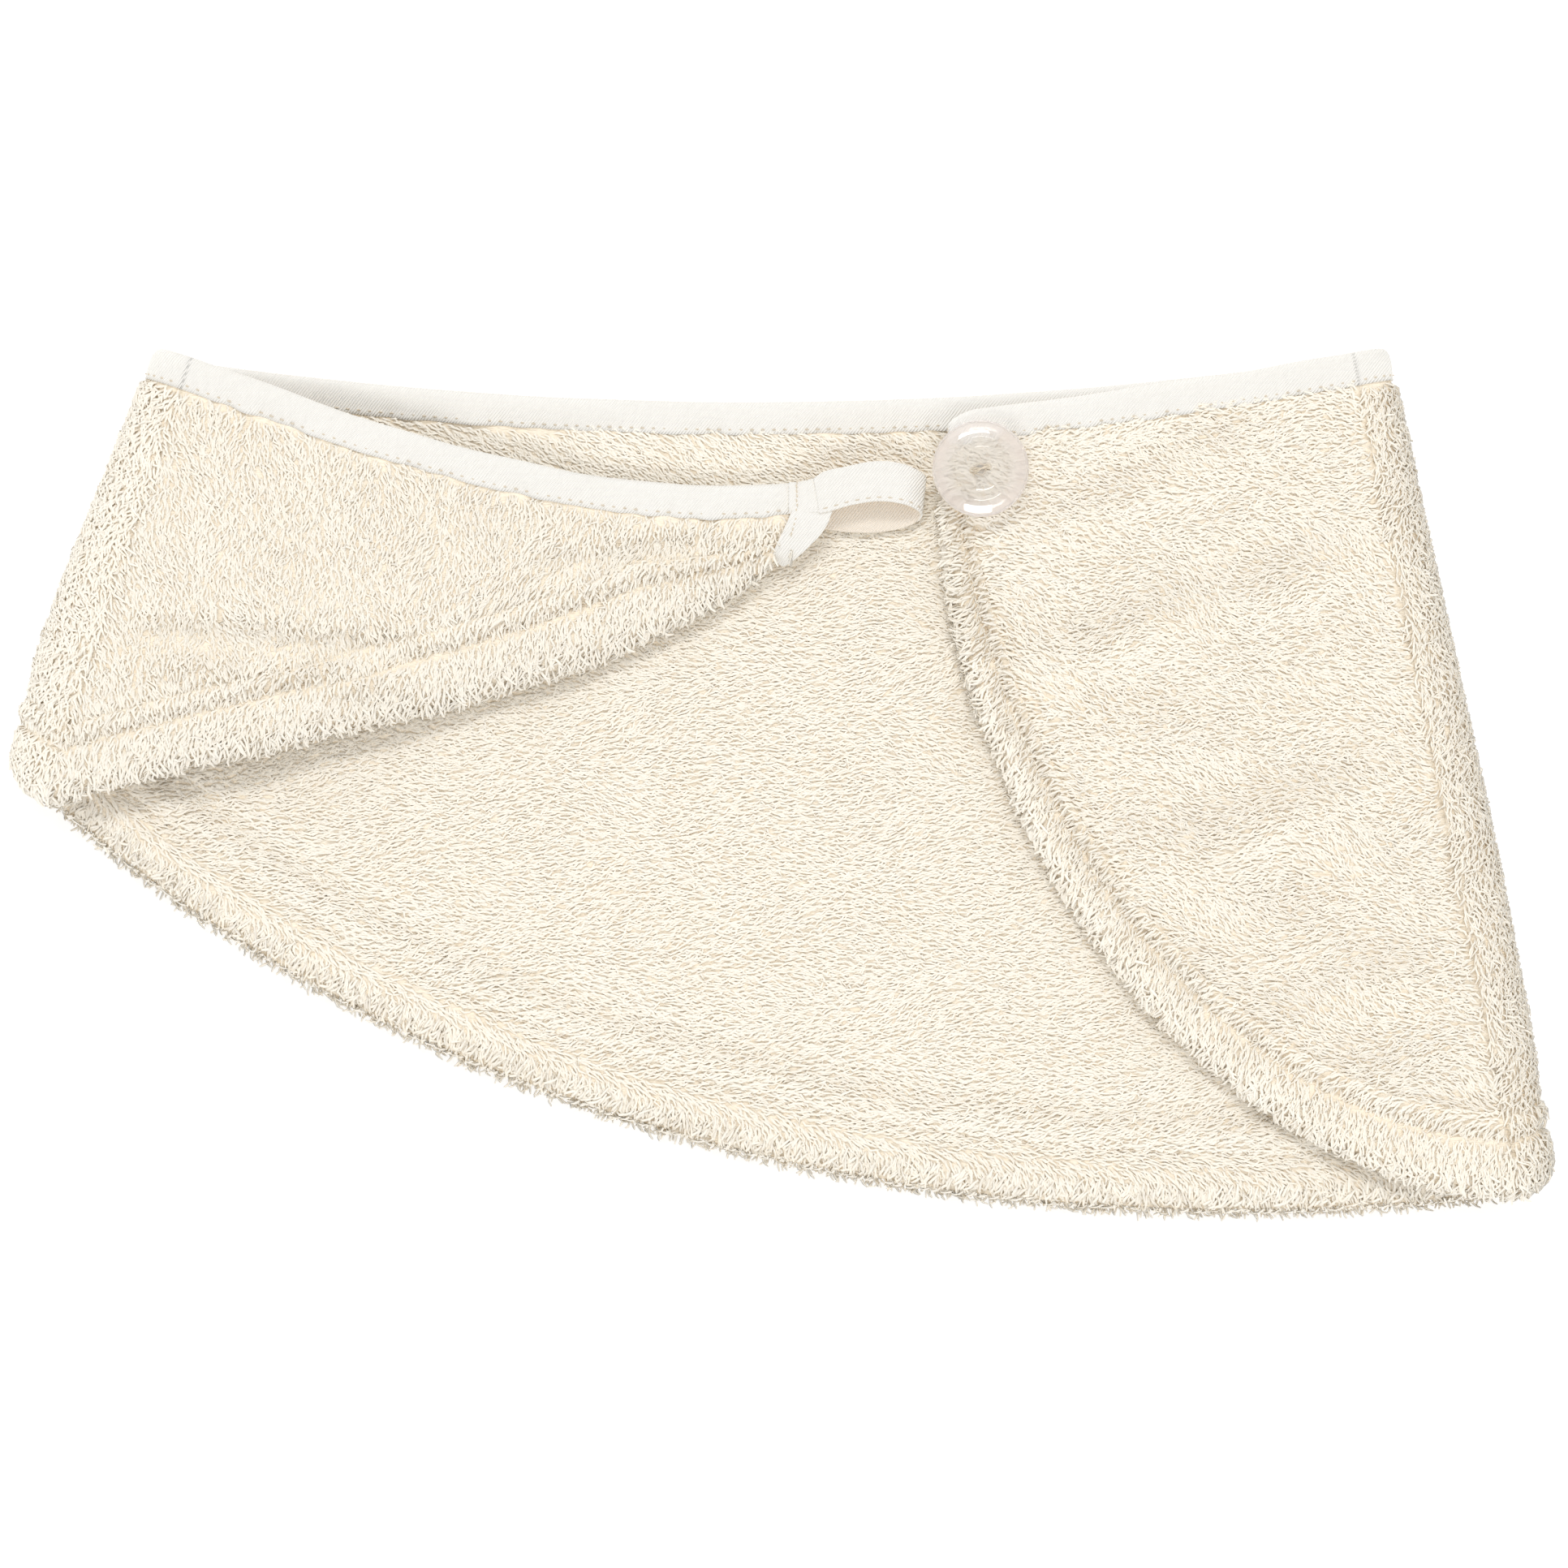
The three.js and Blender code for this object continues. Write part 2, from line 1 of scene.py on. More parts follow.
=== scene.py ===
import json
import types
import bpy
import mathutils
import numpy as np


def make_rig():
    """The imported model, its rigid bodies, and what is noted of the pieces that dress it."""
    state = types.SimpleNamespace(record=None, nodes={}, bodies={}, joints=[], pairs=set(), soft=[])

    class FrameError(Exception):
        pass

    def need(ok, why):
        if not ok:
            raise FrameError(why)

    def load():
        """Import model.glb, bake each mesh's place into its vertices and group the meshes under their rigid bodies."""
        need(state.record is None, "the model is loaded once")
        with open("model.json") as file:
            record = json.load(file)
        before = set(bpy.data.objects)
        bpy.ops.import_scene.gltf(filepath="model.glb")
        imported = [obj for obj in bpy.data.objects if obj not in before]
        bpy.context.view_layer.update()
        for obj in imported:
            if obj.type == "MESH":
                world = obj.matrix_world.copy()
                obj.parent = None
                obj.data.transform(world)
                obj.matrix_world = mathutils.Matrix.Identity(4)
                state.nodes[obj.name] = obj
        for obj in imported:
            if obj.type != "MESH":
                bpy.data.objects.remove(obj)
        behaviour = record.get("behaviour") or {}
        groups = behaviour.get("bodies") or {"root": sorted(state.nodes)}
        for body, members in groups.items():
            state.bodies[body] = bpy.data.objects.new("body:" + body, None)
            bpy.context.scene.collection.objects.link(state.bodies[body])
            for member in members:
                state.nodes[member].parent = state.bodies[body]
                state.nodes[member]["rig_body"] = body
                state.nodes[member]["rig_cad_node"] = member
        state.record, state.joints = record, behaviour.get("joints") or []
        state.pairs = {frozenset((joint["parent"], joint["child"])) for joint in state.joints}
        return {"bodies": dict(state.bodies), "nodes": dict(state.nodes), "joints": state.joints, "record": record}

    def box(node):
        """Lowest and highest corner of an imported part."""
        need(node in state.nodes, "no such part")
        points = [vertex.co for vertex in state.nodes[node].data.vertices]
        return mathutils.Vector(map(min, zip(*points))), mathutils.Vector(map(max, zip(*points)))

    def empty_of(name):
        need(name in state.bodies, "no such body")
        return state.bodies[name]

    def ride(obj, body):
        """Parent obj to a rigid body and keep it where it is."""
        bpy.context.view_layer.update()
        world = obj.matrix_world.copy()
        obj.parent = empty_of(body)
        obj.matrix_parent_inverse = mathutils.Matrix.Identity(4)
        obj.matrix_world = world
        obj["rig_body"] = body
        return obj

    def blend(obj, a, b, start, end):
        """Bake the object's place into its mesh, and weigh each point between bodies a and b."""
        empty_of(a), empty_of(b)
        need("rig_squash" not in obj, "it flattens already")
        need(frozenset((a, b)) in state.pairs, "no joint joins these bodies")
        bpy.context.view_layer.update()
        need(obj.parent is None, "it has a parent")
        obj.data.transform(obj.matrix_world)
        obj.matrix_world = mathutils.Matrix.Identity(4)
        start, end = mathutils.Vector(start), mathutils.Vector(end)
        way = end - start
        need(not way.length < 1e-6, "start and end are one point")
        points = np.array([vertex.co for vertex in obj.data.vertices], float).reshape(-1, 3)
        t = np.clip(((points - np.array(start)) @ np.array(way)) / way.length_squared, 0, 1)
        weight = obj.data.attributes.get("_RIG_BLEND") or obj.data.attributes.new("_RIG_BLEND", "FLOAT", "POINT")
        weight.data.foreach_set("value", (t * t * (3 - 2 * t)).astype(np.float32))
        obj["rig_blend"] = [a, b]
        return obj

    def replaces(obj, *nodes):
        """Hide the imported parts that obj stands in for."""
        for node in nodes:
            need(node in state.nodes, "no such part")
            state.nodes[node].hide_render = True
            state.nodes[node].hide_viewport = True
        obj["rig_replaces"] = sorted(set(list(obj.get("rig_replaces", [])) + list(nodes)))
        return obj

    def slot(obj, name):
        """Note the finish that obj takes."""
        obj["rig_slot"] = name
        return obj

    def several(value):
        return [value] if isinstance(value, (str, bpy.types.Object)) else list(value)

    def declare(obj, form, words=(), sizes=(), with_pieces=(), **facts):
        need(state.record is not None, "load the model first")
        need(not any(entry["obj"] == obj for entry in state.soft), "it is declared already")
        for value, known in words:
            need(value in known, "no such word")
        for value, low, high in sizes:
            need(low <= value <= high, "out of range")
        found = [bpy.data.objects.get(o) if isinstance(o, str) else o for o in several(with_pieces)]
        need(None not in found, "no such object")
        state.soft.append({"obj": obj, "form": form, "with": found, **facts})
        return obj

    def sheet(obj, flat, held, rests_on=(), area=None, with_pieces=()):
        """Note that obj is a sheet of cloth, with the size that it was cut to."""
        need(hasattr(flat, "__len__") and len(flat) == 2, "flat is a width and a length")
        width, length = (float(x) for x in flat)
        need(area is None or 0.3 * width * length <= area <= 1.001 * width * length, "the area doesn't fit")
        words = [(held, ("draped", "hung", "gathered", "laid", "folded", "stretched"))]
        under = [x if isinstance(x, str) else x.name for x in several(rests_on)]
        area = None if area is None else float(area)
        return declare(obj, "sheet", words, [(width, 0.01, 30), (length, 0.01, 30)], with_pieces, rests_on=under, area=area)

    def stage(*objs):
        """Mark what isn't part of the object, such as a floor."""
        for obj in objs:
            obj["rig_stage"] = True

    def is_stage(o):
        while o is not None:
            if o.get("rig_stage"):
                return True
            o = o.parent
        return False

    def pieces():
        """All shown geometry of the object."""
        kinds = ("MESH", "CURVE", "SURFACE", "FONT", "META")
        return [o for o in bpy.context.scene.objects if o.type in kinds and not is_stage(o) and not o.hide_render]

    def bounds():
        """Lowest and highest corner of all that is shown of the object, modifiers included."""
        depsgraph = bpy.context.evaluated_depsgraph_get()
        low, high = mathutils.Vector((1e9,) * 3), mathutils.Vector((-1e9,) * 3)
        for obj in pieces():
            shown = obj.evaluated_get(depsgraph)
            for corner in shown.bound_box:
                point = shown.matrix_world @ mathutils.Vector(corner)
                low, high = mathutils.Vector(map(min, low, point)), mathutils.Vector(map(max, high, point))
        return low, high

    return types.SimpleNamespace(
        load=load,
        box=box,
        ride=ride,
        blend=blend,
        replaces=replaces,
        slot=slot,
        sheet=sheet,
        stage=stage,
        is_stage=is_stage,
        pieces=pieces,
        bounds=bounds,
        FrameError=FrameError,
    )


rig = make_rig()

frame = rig.load()

import json
import math
from collections import namedtuple

import bpy
import numpy as np
from mathutils import Matrix, Vector

bl_info = {
    "name": "Spa headband",
    "version": (1, 0, 0),
    "blender": (4, 5, 0),
    "location": "View3D > Sidebar > Headband",
    "description": "Terry spa headband, folded flat, with a tape loop and a clear button",
    "category": "Mesh",
}

MM = 0.001
CAD_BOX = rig.bounds()
JOINT = {joint["name"]: joint for joint in frame["joints"]}

# The cloth's pattern is drafted about its own zero, and a fold hinge says where that lies in the frame.
DRAFT_LOOP_FOLD_TOP = (-153.5, 107.0)
DRAFT_ZERO = np.array(JOINT["loop_end_fold"]["pos_m"][:2]) - np.array(DRAFT_LOOP_FOLD_TOP) * MM

CLOTH_THICKNESS = 4.5 * MM  # with the pile on both faces
HEM_THICKNESS = 6.5 * MM
GROUND_INSET = 1.15 * MM  # depth of the woven ground below the tips of the pile
HEM_REACH = 26 * MM
SHORTEST_BODY = 13 * MM  # of cloth above the hem, where a column is short
HEM_STITCHES = 14.2 * MM  # from the hemmed edge
REST_HEIGHT = 12.4 * MM  # outer face of a flap where it has come down to rest


def draft(x, y):
    """A drafted point, in millimetres, as a plan point in the frame."""
    return np.array([x, y]) * MM + DRAFT_ZERO


def smooth(t):
    t = np.clip(t, 0, 1)
    return t * t * (3 - 2 * t)


def hem_share(length):
    """How much of the full hem fits on columns of some length."""
    return np.minimum(1.0, (length - SHORTEST_BODY) / HEM_REACH)


def unit(v):
    return v / np.maximum(np.linalg.norm(v, axis=-1, keepdims=True), 1e-12)


def travelled(points):
    """Distance along a line of points, at each of them."""
    return np.concatenate([[0], np.cumsum(np.linalg.norm(np.diff(points, axis=0), axis=1))])


def swell(x, y, wavelength, seed, waves=7):
    """Soft uneven swells between about -1 and 1, from a few waves in seeded directions."""
    rng = np.random.default_rng(seed)
    total = 0.0
    for _ in range(waves):
        angle = rng.uniform(0, 2 * math.pi)
        pace = 2 * math.pi / (wavelength * rng.uniform(0.6, 1.6))
        phase = rng.uniform(0, 2 * math.pi)
        total = total + np.sin(pace * (x * math.cos(angle) + y * math.sin(angle)) + phase)
    return total / math.sqrt(2 * waves)


def bezier(points):
    """A plan curve through Bernstein polynomials, for any number of control points."""
    degree = len(points) - 1

    def at(t):
        t = np.atleast_1d(t)[:, None]
        return sum(
            math.comb(degree, i) * t**i * (1 - t) ** (degree - i) * p for i, p in enumerate(points)
        )

    return at


# ---- The shape of the folded cloth ----


class Fold:
    """A soft fold, round a hinge line that lies on its outside, half way up."""

    def __init__(self, joint, down, length, proud, bulge, rounding, turn):
        self.top = np.array(joint["pos_m"][:2])
        self.radius = joint["pos_m"][2]
        self.along = down * np.array(joint["axis"][:2])
        self.inward = turn * np.array([-self.along[1], self.along[0]])
        self.length = length
        self.proud = proud
        self.bulge = bulge
        self.rounding = rounding

    def start(self, distance=0.0):
        """Where the flat cloth starts, level with the top or the bottom of the fold."""
        return self.top + self.along * distance + self.inward * self.radius

    def across(self, plan):
        return (plan - self.top) @ self.inward - self.radius


LOOP_FOLD = Fold(JOINT["loop_end_fold"], 1, 113.84 * MM, 1.2 * MM, 3.4 * MM, 3 * MM, 1)
BUTTON_FOLD = Fold(JOINT["button_end_fold"], -1, 210.04 * MM, 1.8 * MM, 1.8 * MM, 2 * MM, -1)


# A line down the cloth, from the bound edge to the hem. at() takes distances and depths.
Column = namedtuple("Column", "length at")


def fold_column(fold, angle):
    """One line of a fold. angle is 0 at the hinge, -90 degrees at the back and 90 at the flap."""
    length = fold.length - fold.rounding * math.cos(angle)

    def at(distance, depth):
        share = np.clip(distance / fold.length, 0, 1)
        out = (fold.proud + fold.bulge * np.sin(math.pi * share**1.6)) * math.cos(angle)
        reach = fold.radius - depth
        inward = fold.radius - reach * math.cos(angle) - out
        plan = fold.top + np.outer(distance, fold.along) + np.outer(inward, fold.inward)
        return np.column_stack([plan, fold.radius + reach * math.sin(angle)])

    return Column(length, at)


def one_point(column, distance, depth):
    return column.at(np.array([distance]), np.array([depth]))[0]


def flat_column(top, hem, face):
    """One line of flat cloth between two plan points. face gives height and inward normal."""
    length = np.linalg.norm(hem - top)
    way = (hem - top) / length

    def at(distance, depth):
        plan = top + np.outer(distance, way)
        height, inner = face(plan)
        return np.column_stack([plan, height]) + inner * np.asarray(depth)[:, None]

    return Column(length, at)


def back_face(plan):
    """The outer face of the back panel, on the table, lifted a little where the cloth isn't pressed."""
    ends = np.minimum(LOOP_FOLD.across(plan), BUTTON_FOLD.across(plan))
    lift = 0.5 * MM * (1 + swell(plan[:, 0], plan[:, 1], 45 * MM, 3)) * smooth(ends / (20 * MM))
    inner = np.tile([0.0, 0.0, 1.0], (len(plan), 1))
    return lift, inner


def crease(plan, start, end, width, depth):
    """A soft valley along the line from start to end, with low banks beside it."""
    line = end - start
    length = np.linalg.norm(line)
    along = (plan - start) @ line / length**2
    side = (plan - start) @ np.array([-line[1], line[0]]) / length / width
    fade = smooth((along + 0.15) / 0.3) * smooth((1.15 - along) / 0.3)
    return depth * fade * ((side * side - 0.6) * np.exp(-side * side))


def flap_face(fold, slope, creases, seed):
    """The outer face of a flap, level as it leaves its fold and then down to rest on the back."""
    drop = 2 * fold.radius - REST_HEIGHT

    def height(plan):
        across = fold.across(plan)
        share = np.clip(across / slope, 0, 1)
        z = REST_HEIGHT + drop * (1 + np.cos(math.pi * share)) / 2
        loose = smooth(across / (18 * MM))
        z = z + 0.7 * MM * swell(plan[:, 0], plan[:, 1], 34 * MM, seed) * loose
        for start, end, width, depth in creases:
            z = z + crease(plan, start, end, width, depth) * loose
        return z

    def face(plan):
        step = 0.5 * MM
        z = height(plan)
        slant_x = (height(plan + [step, 0]) - height(plan - [step, 0])) / (2 * step)
        slant_y = (height(plan + [0, step]) - height(plan - [0, step])) / (2 * step)
        return z, unit(np.column_stack([slant_x, slant_y, -np.ones(len(plan))]))

    return face


LOOP_END_TOP, LOOP_END_BOTTOM = draft(5, 74.3), draft(0.2, 56.8)
BUTTON_END_TOP, BUTTON_END_BOTTOM = draft(40.5, 91), draft(39.5, 68)
BACK_TOP = bezier([LOOP_FOLD.start(), draft(-3, 84), BUTTON_FOLD.start()])
BACK_HEM = bezier(
    [
        LOOP_FOLD.start(LOOP_FOLD.length),
        draft(-110, -68),
        draft(20, -121),
        BUTTON_FOLD.start(BUTTON_FOLD.length),
    ]
)
LOOP_TOP = bezier([LOOP_FOLD.start(), draft(-105, 90), draft(-50, 68), LOOP_END_TOP])
LOOP_HEM = bezier(
    [LOOP_FOLD.start(LOOP_FOLD.length), draft(-118, 13), draft(-40, 21), LOOP_END_BOTTOM]
)
BUTTON_TOP = bezier([BUTTON_FOLD.start(), draft(95, 97.5), BUTTON_END_TOP])
BUTTON_HEM = bezier(
    [BUTTON_FOLD.start(BUTTON_FOLD.length), draft(92, -97), draft(39, 8), BUTTON_END_BOTTOM]
)
LOOP_FACE = flap_face(
    LOOP_FOLD,
    150 * MM,
    [
        (draft(-180, 38), draft(-92, 31), 6 * MM, 3.6 * MM),
        (draft(-60, 52), draft(-20, 58), 5 * MM, 1.6 * MM),
    ],
    11,
)
BUTTON_FACE = flap_face(
    BUTTON_FOLD,
    80 * MM,
    [
        (draft(70, 30), draft(160, 62), 9 * MM, 2.6 * MM),
        (draft(90, -20), draft(168, 8), 10 * MM, 2.8 * MM),
        (draft(120, -60), draft(178, -40), 9 * MM, 2.6 * MM),
        (draft(60, 60), draft(120, 84), 8 * MM, 2.0 * MM),
    ],
    12,
)


def flat_columns(top, hem, face, stations):
    return [flat_column(a, b, face) for a, b in zip(top(stations), hem(stations))]


def rounded_corner(column, from_end):
    """Draws the bound edge of a column back where it nears the free end's corner."""
    retreat = 2.6 * MM * (1 - min(1.0, from_end / (7 * MM))) ** 2

    def at(distance, depth):
        return column.at(distance + retreat * np.exp(-distance / (11 * MM)), depth)

    return Column(column.length, at)


def fold_columns(fold, count):
    return [fold_column(fold, math.pi * (i / count - 0.5)) for i in range(count + 1)]


def panel_columns(name, count):
    """The columns of one part of the cloth, from its fold or its left-hand side onwards."""
    stations = np.linspace(0, 1, count + 1)
    if name == "back":
        return flat_columns(BACK_TOP, BACK_HEM, back_face, stations)
    if name == "loop_end":
        return flat_columns(LOOP_TOP, LOOP_HEM, LOOP_FACE, stations)
    if name == "button_end":
        made = flat_columns(BUTTON_TOP, BUTTON_HEM, BUTTON_FACE, stations)
        tops = BUTTON_TOP(stations)
        away = np.linalg.norm(tops - tops[-1], axis=1)
        return [rounded_corner(column, distance) for column, distance in zip(made, away)]
    return fold_columns(LOOP_FOLD if name == "loop_fold" else BUTTON_FOLD, count)


PARTS = {
    # name: (body or pair of bodies that it bends between, columns, CAD nodes it stands for)
    "back": ("back_panel", 108, ["back_terry", "back_hem"]),
    "loop_end": ("loop_end", 60, ["loop_end_terry", "loop_end_hem"]),
    "button_end": ("button_end", 48, ["button_end_terry", "button_end_hem"]),
    "loop_fold": (LOOP_FOLD, 16, []),
    "button_fold": (BUTTON_FOLD, 14, []),
}
FOLD_BODIES = {"loop_fold": "loop_end", "button_fold": "button_end"}

# Distance from the hemmed edge and depth below the outer face, in millimetres, down the outer face.
HEM_OUTER = [
    (26, 1.4), (24, 1.4), (22.3, 1.5), (21, 1.9), (20.2, 2.0), (19.4, 1.6), (18, 1.1),
    (16.4, 1.2), (15, 1.7), (14.2, 2.1), (13.4, 1.8), (12, 1.3), (10, 0.9), (7.6, 0.8),
    (5.4, 0.9), (3.6, 1.3), (2.1, 1.9), (1, 2.7), (0.4, 3.4),
]  # fmt: skip
HEM_INNER = [
    (0.5, 4.2), (1.4, 4.8), (3, 5.1), (5.4, 5.3), (8, 5.3), (10.6, 5.2), (13, 4.8), (14.2, 4.5),
    (15.4, 4.8), (18, 5.1), (20.5, 4.6), (23, 3.6), (26, 3.0),
]  # fmt: skip
BODY_CELLS = 52
OUTER, HEM_FACE, RIM, HEM_BACK, INNER, BOUND = range(6)


def cloth_section(column):
    """Distances, depths and zones round the woven ground, for one column."""
    top = 1.6 * MM
    share = hem_share(column.length)
    body = np.linspace(top, column.length - HEM_REACH * share, BODY_CELLS + 1)[:-1]
    squeeze = smooth(1 - (body - 8 * MM) / (3 * MM))
    outer = np.array(HEM_OUTER) * MM
    inner = np.array(HEM_INNER) * MM
    distance = [
        body,
        column.length - outer[:, 0] * share,
        column.length - inner[:, 0] * share,
        body[::-1],
    ]
    depth = [
        GROUND_INSET + 0.3 * MM * squeeze,
        outer[:, 1],
        inner[:, 1],
        (CLOTH_THICKNESS - GROUND_INSET + 0.1 * MM * squeeze)[::-1],
    ]
    zone = (
        [OUTER] * len(body)
        + [HEM_FACE] * (len(outer) - 5)
        + [RIM] * 7
        + [HEM_BACK] * (len(inner) - 2)
        + [INNER] * len(body)
    )
    zone[-1] = BOUND
    return np.concatenate(distance), np.concatenate(depth), np.array(zone)


def sweep_grid(columns):
    """The cloth's closed section carried along columns, as an array of columns by section points."""
    return np.array([column.at(*cloth_section(column)[:2]) for column in columns])


# ---- Meshes ----

SOFTNESS = 0.9


def make_mesh(name, points, quads, triangles=()):
    mesh = bpy.data.meshes.new(name)
    mesh.vertices.add(len(points))
    mesh.vertices.foreach_set("co", np.asarray(points, np.float32).ravel())
    quads = np.asarray(quads, np.int32).reshape(-1, 4)
    triangles = np.asarray(triangles, np.int32).reshape(-1, 3)
    corners = np.concatenate([quads.ravel(), triangles.ravel()])
    sizes = np.concatenate([np.full(len(quads), 4), np.full(len(triangles), 3)])
    mesh.loops.add(len(corners))
    mesh.loops.foreach_set("vertex_index", corners)
    mesh.polygons.add(len(sizes))
    starts = np.concatenate([[0], np.cumsum(sizes)[:-1]]).astype(np.int32)
    mesh.polygons.foreach_set("loop_start", starts)
    mesh.update(calc_edges=True)
    mesh.shade_smooth()
    return mesh


def make_object(name, mesh, material, slot):
    thing = bpy.data.objects.new(name, mesh)
    bpy.context.scene.collection.objects.link(thing)
    mesh.materials.append(material)
    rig.slot(thing, slot)
    return thing


def attach(thing, part):
    """Rides a piece on its body, or bends it across the fold that it lies on."""
    body = PARTS[part][0] if part in PARTS else part
    if isinstance(body, str):
        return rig.ride(thing, body)
    x, y = body.top
    half = body.radius - HEM_THICKNESS
    low, high = (x, y, body.radius - half), (x, y, body.radius + half)
    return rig.blend(thing, "back_panel", FOLD_BODIES[part], start=low, end=high)


def is_inside_out(grid):
    a, b = grid[:-1], grid[1:]
    c, d = np.roll(b, -1, 1), np.roll(a, -1, 1)
    middle = grid.reshape(-1, 3).mean(0)
    area = np.cross(c - a, d - b) / 2
    return ((a + b + c + d) / 4 - middle).reshape(-1, 3).ravel() @ area.reshape(-1, 3).ravel() < 0


def swept_mesh(name, grid):
    """A closed mesh from a grid whose rows are closed sections, with both ends filled."""
    rows, size = grid.shape[:2]
    index = np.arange(rows * size).reshape(rows, size)
    a, b = index[:-1], index[1:]
    quads = np.stack([a, b, np.roll(b, -1, 1), np.roll(a, -1, 1)], -1).reshape(-1, 4)
    centres = len(index.ravel()) + np.arange(2)
    ends = []
    for row, centre, turned in ((index[0], centres[0], False), (index[-1], centres[1], True)):
        ring = np.stack([row, np.roll(row, -1), np.full(size, centre)], -1)
        ends.append(ring[:, ::-1] if turned else ring)
    triangles = np.concatenate(ends)
    points = np.concatenate([grid.reshape(-1, 3), [grid[0].mean(0), grid[-1].mean(0)]])
    if is_inside_out(grid):
        quads, triangles = quads[:, ::-1], triangles[:, ::-1]
    return make_mesh(name, points, quads, triangles)


def tube_mesh(name, paths, radii, binormals, sides, facing=None, flatness=1.0):
    """Round strands along paths (strand, step, xyz), all in one mesh, with their ends filled.

    Where facing gives a direction for each strand, the strand is shaded as if it partly faced
    that way, as loose soft fibres are.
    """
    count, steps = paths.shape[:2]
    tangent = np.empty_like(paths)
    tangent[:, 1:-1] = paths[:, 2:] - paths[:, :-2]
    tangent[:, 0] = paths[:, 1] - paths[:, 0]
    tangent[:, -1] = paths[:, -1] - paths[:, -2]
    tangent = unit(tangent)
    over = unit(np.cross(binormals[:, None, :], tangent))
    across = np.cross(tangent, over)
    turn = 2 * math.pi * np.arange(sides) / sides
    sideways = across[:, :, None, :] * np.cos(turn)[:, None]
    upright = over[:, :, None, :] * np.sin(turn)[:, None]
    circle = sideways + upright
    rim = sideways + upright * flatness
    points = paths[:, :, None, :] + rim * radii[:, :, None, None]
    index = np.arange(count * steps * sides).reshape(count, steps, sides)
    a, b = index[:, :-1], index[:, 1:]
    quads = np.stack([a, b, np.roll(b, -1, 2), np.roll(a, -1, 2)], -1).reshape(-1, 4)
    fans = []
    for ring, order in ((index[:, 0], slice(None)), (index[:, -1], slice(None, None, -1))):
        for k in range(1, sides - 1):
            fans.append(ring[:, [0, k, k + 1]][:, order])
    first, second, fourth = points[0, 0, 0], points[0, 0, 1], points[0, 1, 0]
    outward = np.cross(fourth - first, second - first) @ (first - paths[0, 0])
    triangles = np.concatenate(fans)
    if outward < 0:
        quads, triangles = quads[:, ::-1], triangles[:, ::-1]
    mesh = make_mesh(name, points.reshape(-1, 3), quads, triangles)
    if facing is not None:
        facing = facing[:, None, None, :]
        turned_away = np.sum(circle * facing, -1, keepdims=True)
        soft = SOFTNESS * smooth((turned_away + 0.4) / 0.8)
        shaded = unit(soft * facing + (1 - soft) * circle)
        mesh.normals_split_custom_set_from_vertices(shaded.reshape(-1, 3).tolist())
    return mesh


def add_value(mesh, name, values):
    attribute = mesh.attributes.new(name, "FLOAT", "POINT")
    attribute.data.foreach_set("value", np.asarray(values, np.float32))


# ---- Pile ----


def spread(grid, density, rng):
    """Even, slightly irregular roots over a grid closed across: places, normals, rows and cells."""
    a, b = grid[:-1], grid[1:]
    c, d = np.roll(b, -1, 1), np.roll(a, -1, 1)
    normal = np.cross(c - a, d - b)
    if is_inside_out(grid):
        normal = -normal
    area = np.linalg.norm(normal, axis=-1) / 2
    wanted = np.cumsum((area * density).ravel()) + rng.random()
    counts = np.diff(np.floor(np.concatenate([[0], wanted]))).astype(int)
    cell = np.repeat(np.arange(len(counts)), counts)
    k = np.arange(len(cell))
    u = (0.5 + k * 0.7548777 + rng.uniform(-0.12, 0.12, len(k))) % 1
    v = (0.5 + k * 0.5698403 + rng.uniform(-0.12, 0.12, len(k))) % 1
    row, column = np.unravel_index(cell, area.shape)
    u, v = u[:, None], v[:, None]
    near = a[row, column] * (1 - v) + d[row, column] * v
    far = b[row, column] * (1 - v) + c[row, column] * v
    return near * (1 - u) + far * u, unit(normal)[row, column], row, column


STRAND_STEPS = np.array([0, 0.28, 0.66, 1.0])
SHORT_STEPS = np.array([0, 0.5, 1.0])
STRAND_FLATNESS = 0.9
STRAND_TAPER = [0.85, 1, 1, 0.6]  # thickness at STRAND_STEPS
# STRAND_RISE: painted shade, each strand coloured darker and warmer towards its root.
STRAND_RISE = [0.2, 0.8, 1, 0.8]  # how far towards the tips' colour at STRAND_STEPS
LOWEST_STRAND = 0.32 * MM
TRIANGLES_PER_PIECE = 190000


def strand_paths(roots, normals, directions, length, height, droop, curl, wave, steps):
    """Arched strands. droop is 1 where the far end comes back down to the cloth and 0 where it stands."""
    t = steps[None, :]
    tangent = unit(directions - normals * np.sum(directions * normals, 1, keepdims=True))
    side = np.cross(normals, tangent)
    arch = np.sin(math.pi * t**0.75)
    stand = np.sin(0.5 * math.pi * t**0.8)
    rise = height[:, None] * (droop[:, None] * arch + (1 - droop[:, None]) * stand)
    rise = rise - 0.35 * MM * (1 - t) * (t < 0.1)
    sway = curl[:, None] * np.sin(math.pi * t * wave[:, None])
    paths = (
        roots[:, None, :]
        + tangent[:, None, :] * (length[:, None] * t)[..., None]
        + normals[:, None, :] * rise[..., None]
        + side[:, None, :] * sway[..., None]
    )
    return paths, side


def turned(directions, normals, angles):
    """Directions turned about normals."""
    c, s = np.cos(angles)[:, None], np.sin(angles)[:, None]
    return directions * c + np.cross(normals, directions) * s


